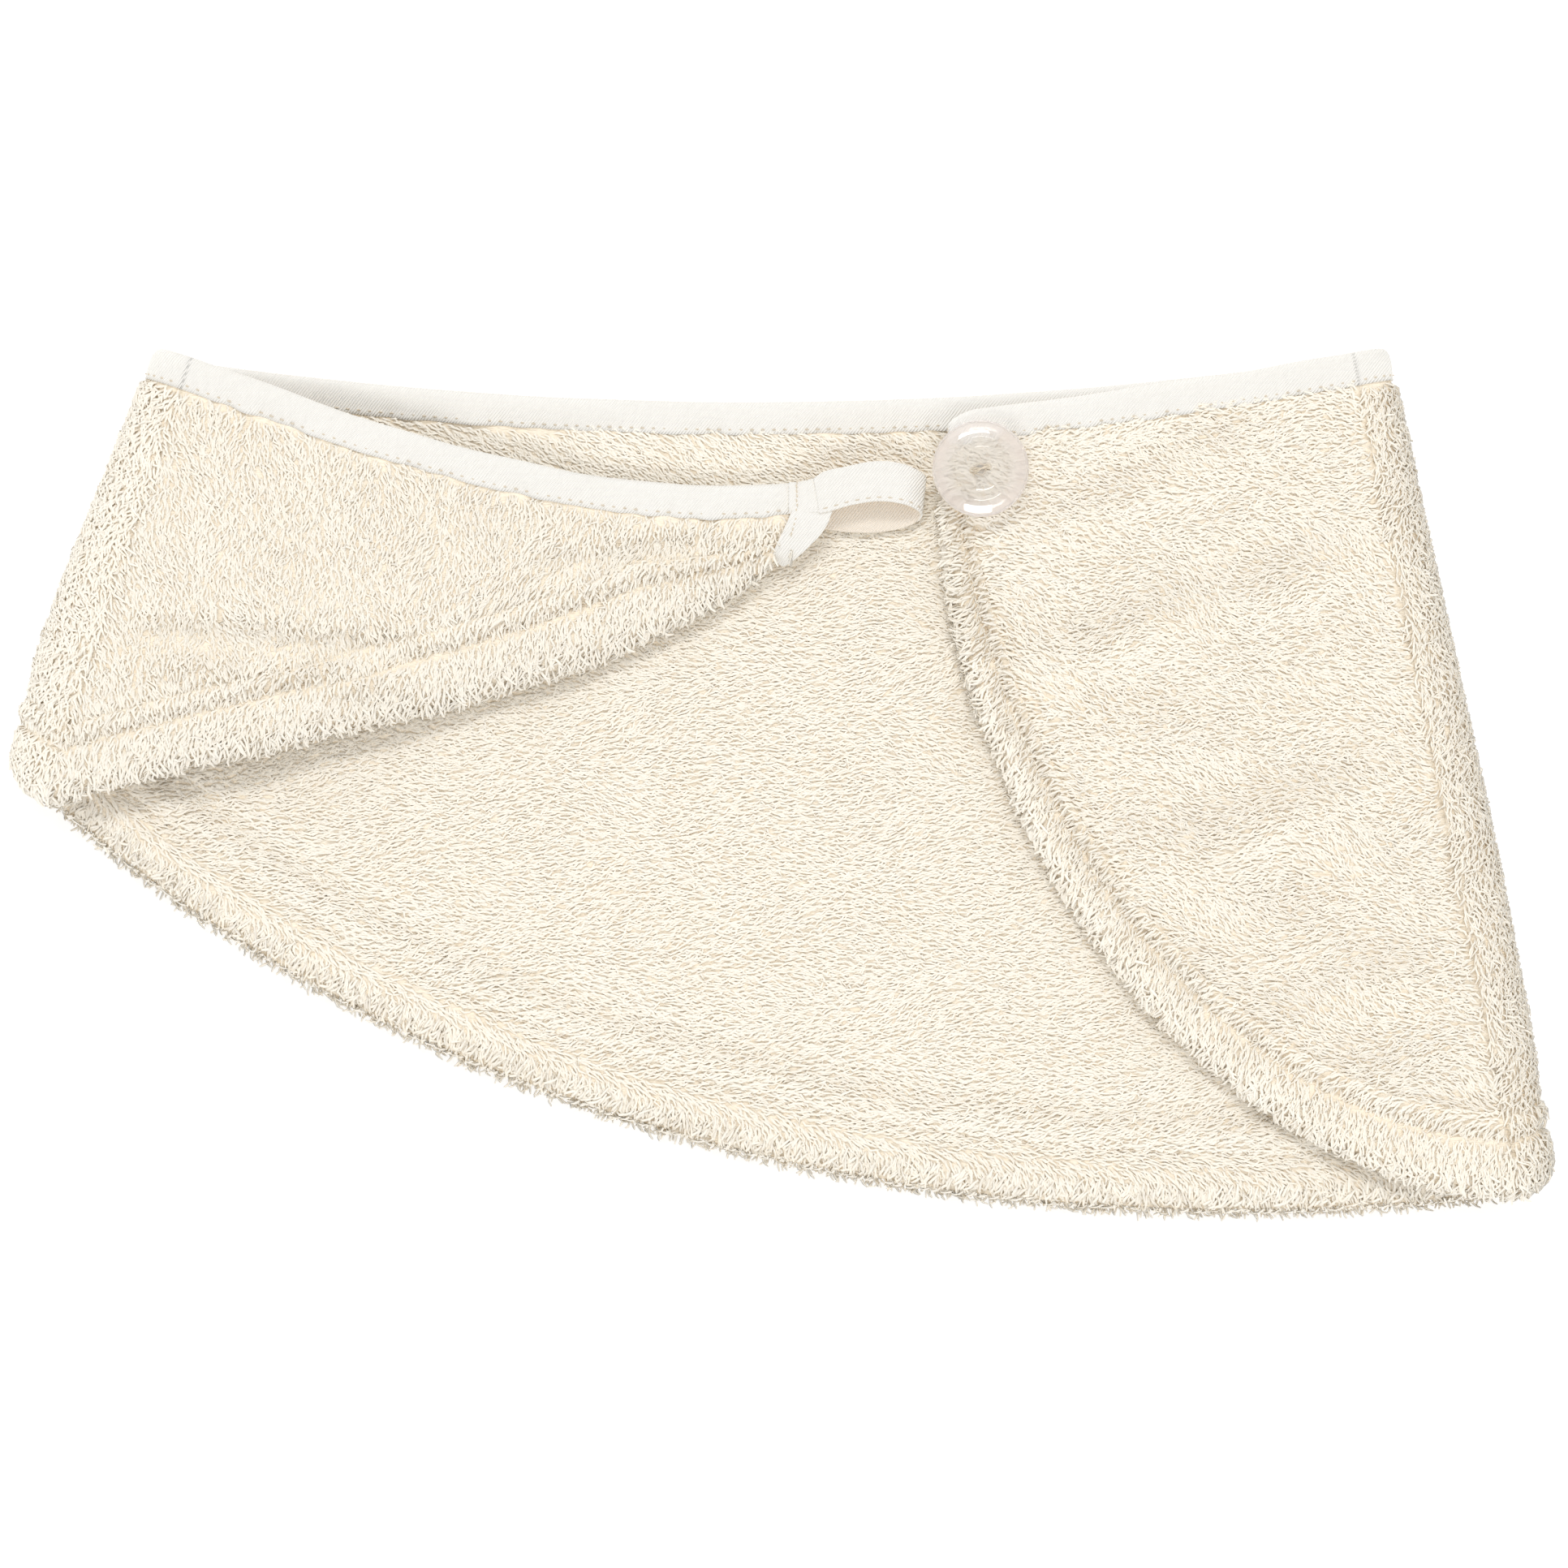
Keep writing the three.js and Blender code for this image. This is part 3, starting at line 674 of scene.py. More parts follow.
def bake_map(mesh, roots, points_per_strand):
    """A UV map that lays each strand beside its root, so that its colour can be baked quickly."""
    low, high = roots[:, :2].min(0), roots[:, :2].max(0)
    home = (roots[:, :2] - low) / (high - low) * 0.98 + 0.005
    step = np.arange(points_per_strand)
    local = np.column_stack([step // 3, step % 3]) * 0.0008
    per_point = (home[:, None, :] + local[None, :, :]).reshape(-1, 2)
    corner = np.empty(len(mesh.loops), np.int32)
    mesh.loops.foreach_get("vertex_index", corner)
    layer = mesh.uv_layers.new(name="OFBake")
    layer.data.foreach_set("uv", per_point[corner].astype(np.float32).ravel())


def nap(part, roots, seed):
    """The way the pile is brushed, in plan, at each root."""
    x, y = roots[:, 0], roots[:, 1]
    drift = swell(x, y, 26 * MM, seed)
    east, north = ((roots[:, :2] - DRAFT_ZERO) / MM).T
    base = {
        "back": 4 - 38 * smooth((north - 62) / 20),
        "loop_end": -97 - 20 * (east + 90) / 90,
        "button_end": 168 + 22 * smooth((north - 70) / 22),
        "loop_fold": -96,
        "button_fold": -84,
    }
    spread_by = {"back": 20, "loop_end": 24, "button_end": 34, "loop_fold": 30, "button_fold": 35}
    angle = np.radians(base[part] + spread_by[part] * drift)
    return np.column_stack([np.cos(angle), np.sin(angle), np.zeros(len(x))])


# How the pile grows in one zone: strands per square millimetre, then millimetres, but droop is from
# 0 to 1 and scatter is in degrees. girth is half the thickness of a strand.
Pile = namedtuple("Pile", "density length height droop scatter girth")

SEEN_BACK = Pile(1.37, 3.1, 0.62, 0.9, 13, 0.35)
SEEN_FLAP = Pile(1.35, 3.1, 0.72, 0.85, 16, 0.35)
HEM_PILE = Pile(1.37, 3.4, 0.72, 0.92, 14, 0.36)
RIM_PILE = Pile(1.0, 3.8, 1.0, 0.75, 30, 0.35)
LOOP_FLAP = Pile(1.14, 3.1, 0.72, 0.85, 16, 0.35)
PRESSED = Pile(0.17, 3.8, 0.6, 1.0, 30, 0.5)
HIDDEN = Pile(0.24, 3.8, 0.7, 1.0, 22, 0.48)
FOLD_PILE = Pile(1.3, 3.4, 1.15, 0.68, 26, 0.35)
WEFT_PITCH = 1.6 * MM
# Painted shade: the loop end's pile is darkened a tenth of the way to a grey, as if less lit.
PAINTED_SHADE_BY_PART = {"loop_end": 0.1}  # how much duller a part's pile is

# What grows in each zone of each part, in the order outer face, hem face, rim, hem's back, inner face.
GROWTH = {
    "back": (PRESSED, PRESSED, RIM_PILE, HEM_PILE, SEEN_BACK),
    "loop_end": (LOOP_FLAP, HEM_PILE, RIM_PILE, HIDDEN, HIDDEN),
    "button_end": (SEEN_FLAP, HEM_PILE, RIM_PILE, HIDDEN, HIDDEN),
    "loop_fold": (FOLD_PILE, FOLD_PILE, RIM_PILE, HIDDEN, HIDDEN),
    "button_fold": (FOLD_PILE, FOLD_PILE, RIM_PILE, HIDDEN, HIDDEN),
}
TAPE_COVER = 8.0 * MM


def covered_by_flap(plan):
    """Where a folded end lies over the back panel, well in from the end's edges."""
    stations = np.linspace(0, 1, 40)
    covered = np.zeros(len(plan), bool)
    for top, hem in ((LOOP_TOP, LOOP_HEM), (BUTTON_TOP, BUTTON_HEM)):
        above, below = top(stations), hem(stations)
        above, below = above[np.argsort(above[:, 0])], below[np.argsort(below[:, 0])]
        left = max(above[0, 0], below[0, 0]) + 5 * MM
        right = min(above[-1, 0], below[-1, 0]) - 6 * MM
        x, y = plan.T
        within = (x > left) & (x < right)
        under = y < np.interp(x, *above.T) - 5 * MM
        covered |= within & under & (y > np.interp(x, *below.T) + 8 * MM)
    return covered


def under_tail(roots):
    """Where the tail of the loop's tape covers the tip of the folded end."""
    start, end = draft(7.4, 68), draft(0.2, 56)
    line = end - start
    off = roots[:, :2] - start
    along = np.clip(off @ line / (line @ line), 0, 1)
    away = np.linalg.norm(off - along[:, None] * line, axis=1)
    return (away < 2.9 * MM) & (roots[:, 2] > 6 * MM)


ENDS = ("loop_end", "button_end")


def end_roots(grid, length, distance, rng):
    """Roots over the end face of a folded end, clear of its tape."""
    ring = grid[-1]
    size = len(ring)
    count = int(1.6 * length / MM)
    first = rng.integers(0, size // 2, count * 4)
    wide = np.linalg.norm(np.roll(ring, -1, 0) - ring, axis=1)[first]
    first = first[rng.random(len(first)) < wide / wide.max()][: count * 2]
    first = first[distance[first] > TAPE_COVER]
    share = rng.uniform(0.1, 0.9, len(first))[:, None]
    roots = ring[first] * (1 - share) + ring[size - 1 - first] * share
    out = unit(ring.mean(0) - grid[-4].mean(0))
    return roots, np.tile(out, (len(roots), 1)), first


def is_sparse(part, points, zone):
    """Where a part's pile is short and thin, as on faces that lie on another face."""
    growth = GROWTH[part]
    thin = np.array([growth[min(z, INNER)] in (PRESSED, HIDDEN) for z in zone])
    thin = np.tile(thin, (len(points), 1))
    if part == "back":
        covered = covered_by_flap(points[..., :2].reshape(-1, 2)).reshape(thin.shape)
        thin |= covered & np.isin(zone, [HEM_BACK, INNER])[None, :]
    return thin


def grow_pile(part, columns, seed):
    """All the strands of one part of the cloth, as a few mesh objects."""
    rng = np.random.default_rng(seed)
    grid = sweep_grid(columns)
    sections = [cloth_section(column) for column in columns]
    distance = np.array([s[0] for s in sections])
    zone = sections[0][2]
    growth = GROWTH[part]
    density = np.array([growth[z].density if z < len(growth) else 0.0 for z in zone])
    density = np.tile(density / MM**2, (len(columns) - 1, 1))
    middle = (distance[:-1] + np.roll(distance[:-1], -1, 1)) / 2
    lengths = np.array([column.length for column in columns])
    stitch_line = HEM_STITCHES * hem_share(lengths)[:-1, None]
    from_stitches = np.abs(lengths[:-1, None] - middle - stitch_line)
    clear = (middle > TAPE_COVER) & ~((zone == HEM_FACE)[None, :] & (from_stitches < 0.45 * MM))
    sparse_cells = is_sparse(part, (grid[:-1] + grid[1:]) / 2, zone)
    if part == "back":
        inner = np.isin(zone, [HEM_BACK, INNER])
        density = np.where(sparse_cells & inner[None, :], HIDDEN.density / MM**2, density)
    density = density * clear
    roots, normals, row, cell = spread(grid, density, rng)
    if part == "back":
        # The pile stands in the rows of the weave, with narrow gaps between them.
        waver = 0.25 * MM * swell(*roots[:, :2].T, 20 * MM, 77)
        phase = 2 * math.pi * (roots[:, 1] + waver) / WEFT_PITCH
        roots[:, 1] -= 0.55 * WEFT_PITCH / (2 * math.pi) * np.sin(phase)
    if part == "loop_end":
        kept = ~under_tail(roots)
        roots, normals, row, cell = roots[kept], normals[kept], row[kept], cell[kept]
    if part in ENDS:
        tips = end_roots(grid, columns[-1].length, distance[-1], rng)
        roots = np.concatenate([roots, tips[0]])
        normals = np.concatenate([normals, tips[1]])
        row = np.concatenate([row, np.full(len(tips[0]), len(grid) - 2)])
        cell = np.concatenate([cell, tips[2]])
    count = len(roots)
    facing = normals.copy()
    if part == "back":
        # Light comes through the loose fibres of the rim, so none of it looks turned to the table.
        lit = zone[cell] == RIM
        facing[lit, 2] = np.maximum(facing[lit, 2], 0.35)
        facing = unit(facing)
    sparse = sparse_cells[row, cell]
    seen = [growth[z] if z < len(growth) else growth[0] for z in zone[cell]]
    kinds = [HIDDEN if bare and kind is not PRESSED else kind for kind, bare in zip(seen, sparse)]
    _, length, height, droop, scatter, girth = np.array(kinds).T
    length = length * MM * rng.uniform(0.72, 1.25, count)
    height = height * MM * rng.uniform(0.7, 1.3, count)
    droop = np.clip(droop + rng.normal(0, 0.15, count), 0, 1)
    girth = girth * MM * rng.uniform(0.88, 1.12, count)
    scatter = np.radians(scatter) * rng.normal(0, 1, count)
    # On the hem and its rim the strands fall outwards, away from the cloth.
    outward = unit(grid[row, cell] - grid[row, (cell - 1) % grid.shape[1]])
    outward = outward * np.where(zone[cell] >= HEM_BACK, -1, 1)[:, None]
    from_hem = lengths[row] - distance[row, cell]
    reach = (4 if part == "back" else 15) * MM
    near_hem = 0.8 * (1 - smooth((from_hem - reach) / (9 * MM)))[:, None]
    way = nap(part, roots, seed)
    direction = unit(way * (1 - near_hem) + outward * near_hem)
    if part in ENDS:
        # At the free end the pile falls outwards, off the cloth.
        end = grid[-1].mean(0)
        off_end = unit(grid[-1].mean(0) - grid[-4].mean(0))
        near_end = 0.8 * np.exp(-(((roots - end) @ off_end) / (3 * MM)) ** 2)[:, None]
        direction = unit(direction * (1 - near_end) + off_end * near_end)
    direction = turned(direction, normals, scatter)
    curl = rng.normal(0, 0.42 * MM, count)
    wave = rng.uniform(0.7, 1.5, count)
    patch = swell(roots[:, 0], roots[:, 1], 18 * MM, seed + 5)
    tone = np.clip(0.5 + 0.2 * patch + rng.normal(0, 0.22, count), 0, 1)
    pieces = []
    order = np.argsort(row, kind="stable")
    edge = np.array([kind is RIM_PILE for kind in kinds])
    for kind, steps, group in (
        ("pile", SHORT_STEPS, order[~edge[order] & ~sparse[order]]),
        ("fringe", STRAND_STEPS, order[edge[order]]),
        ("undernap", SHORT_STEPS, order[sparse[order]]),
    ):
        triangles = len(group) * (6 * len(steps) - 4)
        total = math.ceil(triangles / TRIANGLES_PER_PIECE)
        for i, chosen in enumerate(np.array_split(group, total) if total else []):
            paths, side = strand_paths(
                roots[chosen], normals[chosen], direction[chosen], length[chosen],
                height[chosen], droop[chosen], curl[chosen], wave[chosen], steps,
            )  # fmt: skip
            paths[..., 2] = np.maximum(paths[..., 2], LOWEST_STRAND)
            radii = girth[chosen, None] * np.interp(steps, STRAND_STEPS, STRAND_TAPER)
            name = f"{part}_{kind}_{i + 1}" if total > 1 else f"{part}_{kind}"
            mesh = tube_mesh(
                name, paths, radii, side, 3, facing=facing[chosen], flatness=STRAND_FLATNESS
            )
            per_strand = 3 * len(steps)
            add_value(mesh, "tone", np.repeat(tone[chosen], per_strand))
            # Painted shade: how far each point is from the root colour towards the tips' colour.
            rise = np.interp(steps, STRAND_STEPS, STRAND_RISE)
            add_value(mesh, "rise", np.tile(np.repeat(rise, 3), len(chosen)))
            # Painted shade: how far this part's pile is darkened towards a grey.
            add_value(mesh, "worn", np.full(per_strand * len(chosen), PAINTED_SHADE_BY_PART.get(part, 0.0)))
            bake_map(mesh, roots[chosen], per_strand)
            pieces.append(attach(make_object(name, mesh, terry_pile(), "terry"), part))
    return pieces


# ---- Materials ----


class Value:
    """A socket that takes part in sums written as plain expressions."""

    def __init__(self, maker, socket):
        self.maker = maker
        self.socket = socket

    def _math(self, operation, first, second):
        return self.maker.node("ShaderNodeMath", {"operation": operation}, {0: first, 1: second})

    def __add__(self, other):
        return self._math("ADD", self, other)

    def __sub__(self, other):
        return self._math("SUBTRACT", self, other)

    def __rsub__(self, other):
        return self._math("SUBTRACT", other, self)

    def __mul__(self, other):
        return self._math("MULTIPLY", self, other)

    __radd__ = __add__
    __rmul__ = __mul__


class Maker:
    """Makes one material's nodes."""

    def __init__(self, name):
        self.material = bpy.data.materials.new(name)
        self.material.use_nodes = True
        self.tree = self.material.node_tree
        self.shader = self.tree.nodes["Principled BSDF"]

    def node(self, kind, settings=None, inputs=None, output=0):
        """Adds a node: its settings first, then the values or links of its sockets."""
        made = self.tree.nodes.new(kind)
        for name, value in (settings or {}).items():
            if name == "stops":
                for stop, (place, colour) in zip(made.color_ramp.elements, value):
                    stop.position, stop.color = place, colour
            else:
                setattr(made, name, value)
        for name, value in (inputs or {}).items():
            self.feed(made.inputs[name], value)
        return Value(self, made.outputs[output])

    def feed(self, socket, value):
        if isinstance(value, Value):
            self.tree.links.new(value.socket, socket)
        else:
            socket.default_value = value

    def surface(self, **sockets):
        for name, value in sockets.items():
            self.feed(self.shader.inputs[name.replace("_", " ")], value)
        return self.material

    def mix(self, factor, first, second):
        """A colour between two colours."""
        return self.node(
            "ShaderNodeMix", {"data_type": "RGBA"}, {0: factor, 6: first, 7: second}, output=2
        )

    def place(self, scale):
        """Object coordinates, stretched by scale."""
        where = self.node("ShaderNodeTexCoord", output=3)
        return self.node("ShaderNodeMapping", None, {0: where, 3: scale})

    def noise(self, where, scale, detail=2.0, rough=0.5):
        return self.node(
            "ShaderNodeTexNoise",
            None,
            {"Vector": where, "Scale": scale, "Detail": detail, "Roughness": rough},
        )

    def bump(self, height, strength, distance):
        return self.node(
            "ShaderNodeBump",
            None,
            {"Height": height, "Strength": strength, "Distance": distance},
        )

    def attribute(self, name):
        return self.node("ShaderNodeAttribute", {"attribute_name": name}, None, output=2)


def colours():
    return bpy.context.scene.headband_colours


def as_rgba(colour):
    return (*colour, 1.0)


def once(make):
    """Keeps one material for all the pieces that share it."""
    kept = []

    def get():
        if not kept:
            kept.append(make())
        return kept[0]

    return get


@once
def terry_pile():
    m = Maker("terry_pile")
    # Painted shade: each strand runs from the darker, warmer root colour near its root to the tips' colour.
    shade = m.mix(m.attribute("rise"), as_rgba(colours().root), as_rgba(colours().strand))
    tint = m.mix(m.attribute("tone"), as_rgba(colours().strand_warm), as_rgba(colours().strand))
    colour = m.mix(0.5, shade, tint)
    # Painted shade: a part's pile is mixed a little towards a grey, to darken it as if less lit.
    colour = m.mix(m.attribute("worn"), colour, as_rgba(colours().worn))
    fibres = m.noise(m.place((1, 1, 1)), 2600.0, 1.0)
    return m.surface(
        Base_Color=colour,
        Roughness=0.92,
        Specular_IOR_Level=0.1,
        Normal=m.bump(fibres, 0.15, 0.0002),
    )


@once
def terry_ground():
    """Short combed pile, where no long strands stand out from it, with painted shade in its gaps."""
    m = Maker("terry_ground")
    combed = m.noise(m.place((0.28, 1, 1)), 900.0, 2.0, 0.6)
    loops = m.node("ShaderNodeTexVoronoi", None, {"Vector": m.place((0.45, 1, 1)), "Scale": 700.0})
    patches = m.noise(m.place((1, 1, 1)), 60.0, 3.0)
    gaps = m.node("ShaderNodeMapRange", None, {0: combed, 1: 0.38, 2: 0.56})
    shade = gaps * 0.75 + patches * 0.25
    # Painted shade: where the combed pile parts, the ground is coloured towards the dark gap colour.
    short = m.mix(shade, as_rgba(colours().gap), as_rgba(colours().strand_warm))
    # Painted shade: under the long pile the ground takes the darker root colour, in patches.
    under = m.mix(patches, as_rgba(colours().root), as_rgba(colours().strand_warm))
    colour = m.mix(m.attribute("bare"), under, short)
    return m.surface(
        Base_Color=colour,
        Roughness=0.95,
        Specular_IOR_Level=0.15,
        Normal=m.bump(gaps * 0.6 - loops * 0.4, 0.7, 0.0006),
    )


def twill(name, light, shade, pitch):
    """Fine diagonal twill, its rows of yarn a pitch apart along each axis."""
    m = Maker(name)
    where = m.place((1, 1, 1))
    turned_way = m.node("ShaderNodeMapping", None, {0: where, 2: (0, 0, math.radians(38))})
    rows = m.node(
        "ShaderNodeTexWave",
        {"bands_direction": "X"},
        {"Vector": turned_way, "Scale": 0.314 / pitch, "Distortion": 1.4, "Detail": 2.0},
    )
    slubs = m.noise(where, 420.0, 3.0)
    soil = m.noise(where, 55.0, 2.0)
    weave = rows * 0.7 + slubs * 0.3
    # Painted shade: the twill's valleys are coloured towards the darker tape shade.
    colour = m.mix(weave * 0.75 + soil * 0.35, as_rgba(shade), as_rgba(light))
    # Painted shade: the ribbons' undersides, the inside of the loop among them, are coloured a darker peach.
    colour = m.mix(m.attribute("inner") * 0.85, colour, as_rgba(colours().tape_inner_painted_shade))
    return m.surface(
        Base_Color=colour,
        Roughness=0.85,
        Sheen_Weight=0.1,
        Specular_IOR_Level=0.25,
        Normal=m.bump(weave, 0.9, 0.0003),
    )


@once
def tape_cotton():
    return twill("tape_cotton", colours().tape, colours().tape_shade, 0.62 * MM)


def thread(name, colour):
    m = Maker(name)
    where = m.place((1, 1, 1))
    ply = m.node("ShaderNodeTexWave", None, {"Vector": where, "Scale": 1500.0})
    tone = m.mix(m.noise(where, 300.0), as_rgba(colour), as_rgba([c * 0.9 for c in colour]))
    return m.surface(Base_Color=tone, Roughness=0.7, Normal=m.bump(ply, 0.5, 0.0001))


@once
def seam_thread():
    return thread("seam_thread", colours().thread)


@once
def clear_plastic():
    m = Maker("clear_plastic")
    low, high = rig.box("button")
    axis = [-(a + b) / 2 for a, b in zip(low[:2], high[:2])]
    where = m.node("ShaderNodeTexCoord", output=3)
    centred = m.node("ShaderNodeMapping", None, {0: where, 1: (*axis, 0), 3: (1, 1, 0)})
    reach = m.node("ShaderNodeVectorMath", {"operation": "LENGTH"}, {0: centred}, output=1)
    streaks = m.noise(m.place((1, 1, 1)), 90.0, 2.0)
    # The thick rim gathers more of the plastic's tint than the dished middle.
    rim = m.node("ShaderNodeMapRange", None, {0: reach, 1: 0.0068, 2: 0.0098}) * 0.8 + streaks * 0.2
    ripple = m.noise(m.place((1, 1, 1)), 160.0, 1.0)
    return m.surface(
        Base_Color=m.mix(rim, as_rgba(colours().button_light), as_rgba(colours().button)),
        Roughness=0.04,
        Transmission_Weight=0.6,
        IOR=1.42,
        Alpha=rim * 0.42 + 0.34,
        Coat_Weight=1.0,
        Coat_Roughness=0.02,
        Coat_IOR=1.85,
        Normal=m.bump(ripple, 0.06, 0.0004),
    )


@once
def studio_white():
    m = Maker("studio_white")
    return m.surface(
        Base_Color=(0.93, 0.93, 0.93, 1),
        Roughness=0.9,
        Specular_IOR_Level=0.1,
        Emission_Color=(1, 1, 1, 1),
        Emission_Strength=0.2,
    )


# ---- Tape and seams ----

TAPE_OUTER = [
    (8.3, 0.95), (7.3, 0.85), (5.6, 0.6), (3.8, 0.5), (2.2, 0.6), (1.1, 0.95), (0.35, 1.6),
    (0, 2.5), (0.35, 3.4), (1.1, 4.0), (2.2, 4.3), (3.8, 4.45), (5.6, 4.35), (7.3, 4.1), (8.3, 4.0),
]  # fmt: skip
TAPE_WALL = 0.45
STITCH_LINE = 7.1 * MM
STITCH_PITCH = 2.7 * MM
STITCH_LENGTH = 1.7 * MM


def tape_section(pucker):
    """The folded tape's section. pucker, about -2 to 2, lets its edges ride up and down."""
    outer = np.array(TAPE_OUTER)
    way = np.gradient(outer, axis=0)
    normal = unit(np.column_stack([way[:, 1], -way[:, 0]]))
    inner = outer + normal * TAPE_WALL
    ring = np.concatenate([outer, inner[::-1]])
    slack = np.clip((ring[:, 0] - 3) / 5, 0, 1)
    swing = np.where(ring[:, 1] < 2.5, -1, 1) * pucker * slack
    return ring[:, 0] * MM + 0.18 * MM * pucker * slack, ring[:, 1] * MM + swing * 0.28 * MM


def tape_columns(part):
    """Closely spaced columns for the tape."""
    counts = {"back": 260, "loop_end": 140, "button_end": 96, "loop_fold": 24, "button_fold": 22}
    return panel_columns(part, counts[part])


def from_folds(part, plan):
    """Nothing at a fold, rising to 1 a little way into the flat cloth."""
    if part.endswith("fold"):
        return 0.0
    folds = [f for f, end in ((LOOP_FOLD, "loop_end"), (BUTTON_FOLD, "button_end"))
             if part in ("back", end)]  # fmt: skip
    return float(smooth(min(fold.across(plan) for fold in folds) / (9 * MM)))


def tape_grid(part):
    rows = []
    for column in tape_columns(part):
        edge = one_point(column, 0.0, 0.0)
        pucker = 1.7 * float(swell(edge[0], edge[2], 9 * MM, 21)) * from_folds(part, edge[:2])
        rows.append(column.at(*tape_section(pucker)))
    return np.array(rows)


def along_seam(columns, distance, depth):
    """A line of points on the cloth, one for each column."""
    return np.array([one_point(column, distance(column), depth) for column in columns])


def stitches(name, line, up, part, girth, length=STITCH_LENGTH):
    """Separate stitches along a line, each a short thread with both ends in the cloth."""
    travel = travelled(line)
    starts = np.arange(STITCH_PITCH * 0.3, travel[-1] - length, STITCH_PITCH)
    shares = np.linspace(0, 1, 5)
    where = starts[:, None] + length * shares[None, :]
    paths = np.stack([np.interp(where, travel, line[:, k]) for k in range(3)], -1)
    lift = np.array([-0.45, 0.02, 0.12, 0.02, -0.45]) * MM
    normal = unit(np.stack([np.interp(starts, travel, up[:, k]) for k in range(3)], -1))
    paths = paths + normal[:, None, :] * lift[None, :, None]
    side = unit(np.cross(paths[:, -1] - paths[:, 0], normal))
    radii = np.tile(girth * np.array([0.7, 1, 1.05, 1, 0.7]), (len(starts), 1))
    mesh = tube_mesh(name, paths, radii, side, 6)
    return attach(make_object(name, mesh, seam_thread(), "thread"), part)


def seam(part, name, distance, outer_depth, inner_depth, **shape):
    """Needle-side stitches on the outer face and bobbin-side stitches on the inner face."""
    columns = tape_columns(part)
    outer = along_seam(columns, distance, outer_depth)
    inner = along_seam(columns, distance, inner_depth)
    out = unit(outer - inner)
    needle = stitches(f"{name}_needle", outer, out, part, **shape)
    bobbin = stitches(f"{name}_bobbin", inner, -out, part, **shape)
    return needle, bobbin


# ---- Ribbons ----


def smooth_path(stations, samples):
    """Points evenly spread along a smooth curve through stations of any number of values."""
    stations = np.asarray(stations, float)
    steps = np.linalg.norm(np.diff(stations[:, :3], axis=0), axis=1)
    knots = np.concatenate([[0], np.cumsum(np.sqrt(steps))])
    slopes = np.gradient(stations, knots, axis=0)
    where = np.linspace(0, knots[-1], samples)
    i = np.clip(np.searchsorted(knots, where, side="right") - 1, 0, len(knots) - 2)
    span = (knots[i + 1] - knots[i])[:, None]
    t = (where - knots[i])[:, None] / span
    return (
        (2 * t**3 - 3 * t**2 + 1) * stations[i]
        + (t**3 - 2 * t**2 + t) * span * slopes[i]
        + (3 * t**2 - 2 * t**3) * stations[i + 1]
        + (t**3 - t**2) * span * slopes[i + 1]
    )


class Ribbon:
    """A woven tape along drafted stations: x, y, z and its half width as a vector, in millimetres."""

    def __init__(self, stations, samples, thickness, seed):
        path = smooth_path(stations, samples)
        self.centre = path[:, :3] * MM
        self.centre[:, :2] += DRAFT_ZERO
        self.half = path[:, 3:] * MM
        way = unit(np.gradient(self.centre, axis=0))
        self.normal = unit(np.cross(way, self.half))
        self.normal *= np.sign(self.normal[0, 2])
        self.thickness = thickness
        self.seed = seed

    def at(self, across, rise):
        """Points at a share of the half width and a share of the half thickness."""
        place = self.centre + self.half * across
        travel = travelled(self.centre)
        aside = np.full(len(place), across * 4 * MM)
        slack = 0.22 * MM * swell(travel, aside, 11 * MM, self.seed)
        gather = 0.14 * MM * math.exp(-(((across + 0.79) / 0.07) ** 2))
        lift = slack + rise * (self.thickness / 2 - gather)
        return place + self.normal * lift[:, None]

    def mesh(self, name):
        faces = np.linspace(-0.96, 0.96, 25)
        edge = [(0.985, 0.8), (1.0, 0.3), (1.0, -0.3), (0.985, -0.8)]
        ring = [(u, 1) for u in faces] + edge
        ring += [(u, -1) for u in faces[::-1]] + [(-u, -r) for u, r in edge]
        grid = np.stack([self.at(u, r) for u, r in ring], 1)
        mesh = swept_mesh(name, grid)
        # Marks the undersides, which take painted shade.
        inner = np.tile([float(r < 0) for _, r in ring], len(grid))
        add_value(mesh, "inner", np.concatenate([inner, [0, 0]]))
        return mesh


LOOP_RIBBON = [
    (8.0, 70.4, 13.4, -0.7, 4.3, -0.1),
    (9.1, 70.9, 13.5, -0.9, 4.5, 0.1),
    (10.5, 71.5, 13.5, -0.9, 4.8, 0.3),
    (15.5, 72.8, 13.3, -0.7, 4.7, 0.5),
    (22.5, 74.0, 13.0, -0.2, 4.9, 0.3),
    (28.0, 73.6, 12.5, 0.3, 4.9, -0.1),
    (31.8, 72.4, 11.3, 0.5, 4.7, -0.2),
    (34.0, 70.8, 9.2, 0.5, 4.6, 0.0),
    (33.3, 69.2, 7.2, 0.4, 4.6, 0.0),
    (30.0, 67.7, 6.3, 0.2, 4.6, 0.0),
    (23.0, 66.5, 6.0, 0.0, 4.6, 0.0),
    (16.0, 66.4, 6.2, -0.1, 4.5, 0.0),
    (10.5, 66.9, 7.0, -0.2, 4.3, 0.2),
    (6.6, 67.2, 8.4, -0.2, 4.0, 0.3),
]
TAIL_RIBBON = [
    (7.2, 67.6, 12.8, 4.7, -0.9, -0.2),
    (6.1, 64.8, 12.8, 4.4, -1.5, -0.4),
    (4.6, 62.2, 12.6, 3.9, -1.7, -0.6),
    (2.8, 59.7, 12.3, 3.3, -1.6, -0.8),
    (1.0, 57.4, 11.8, 2.7, -1.5, -0.9),
    (-0.6, 55.5, 10.8, 2.0, -1.2, -0.8),
    (-1.5, 54.4, 9.2, 1.4, -0.9, -0.6),
]
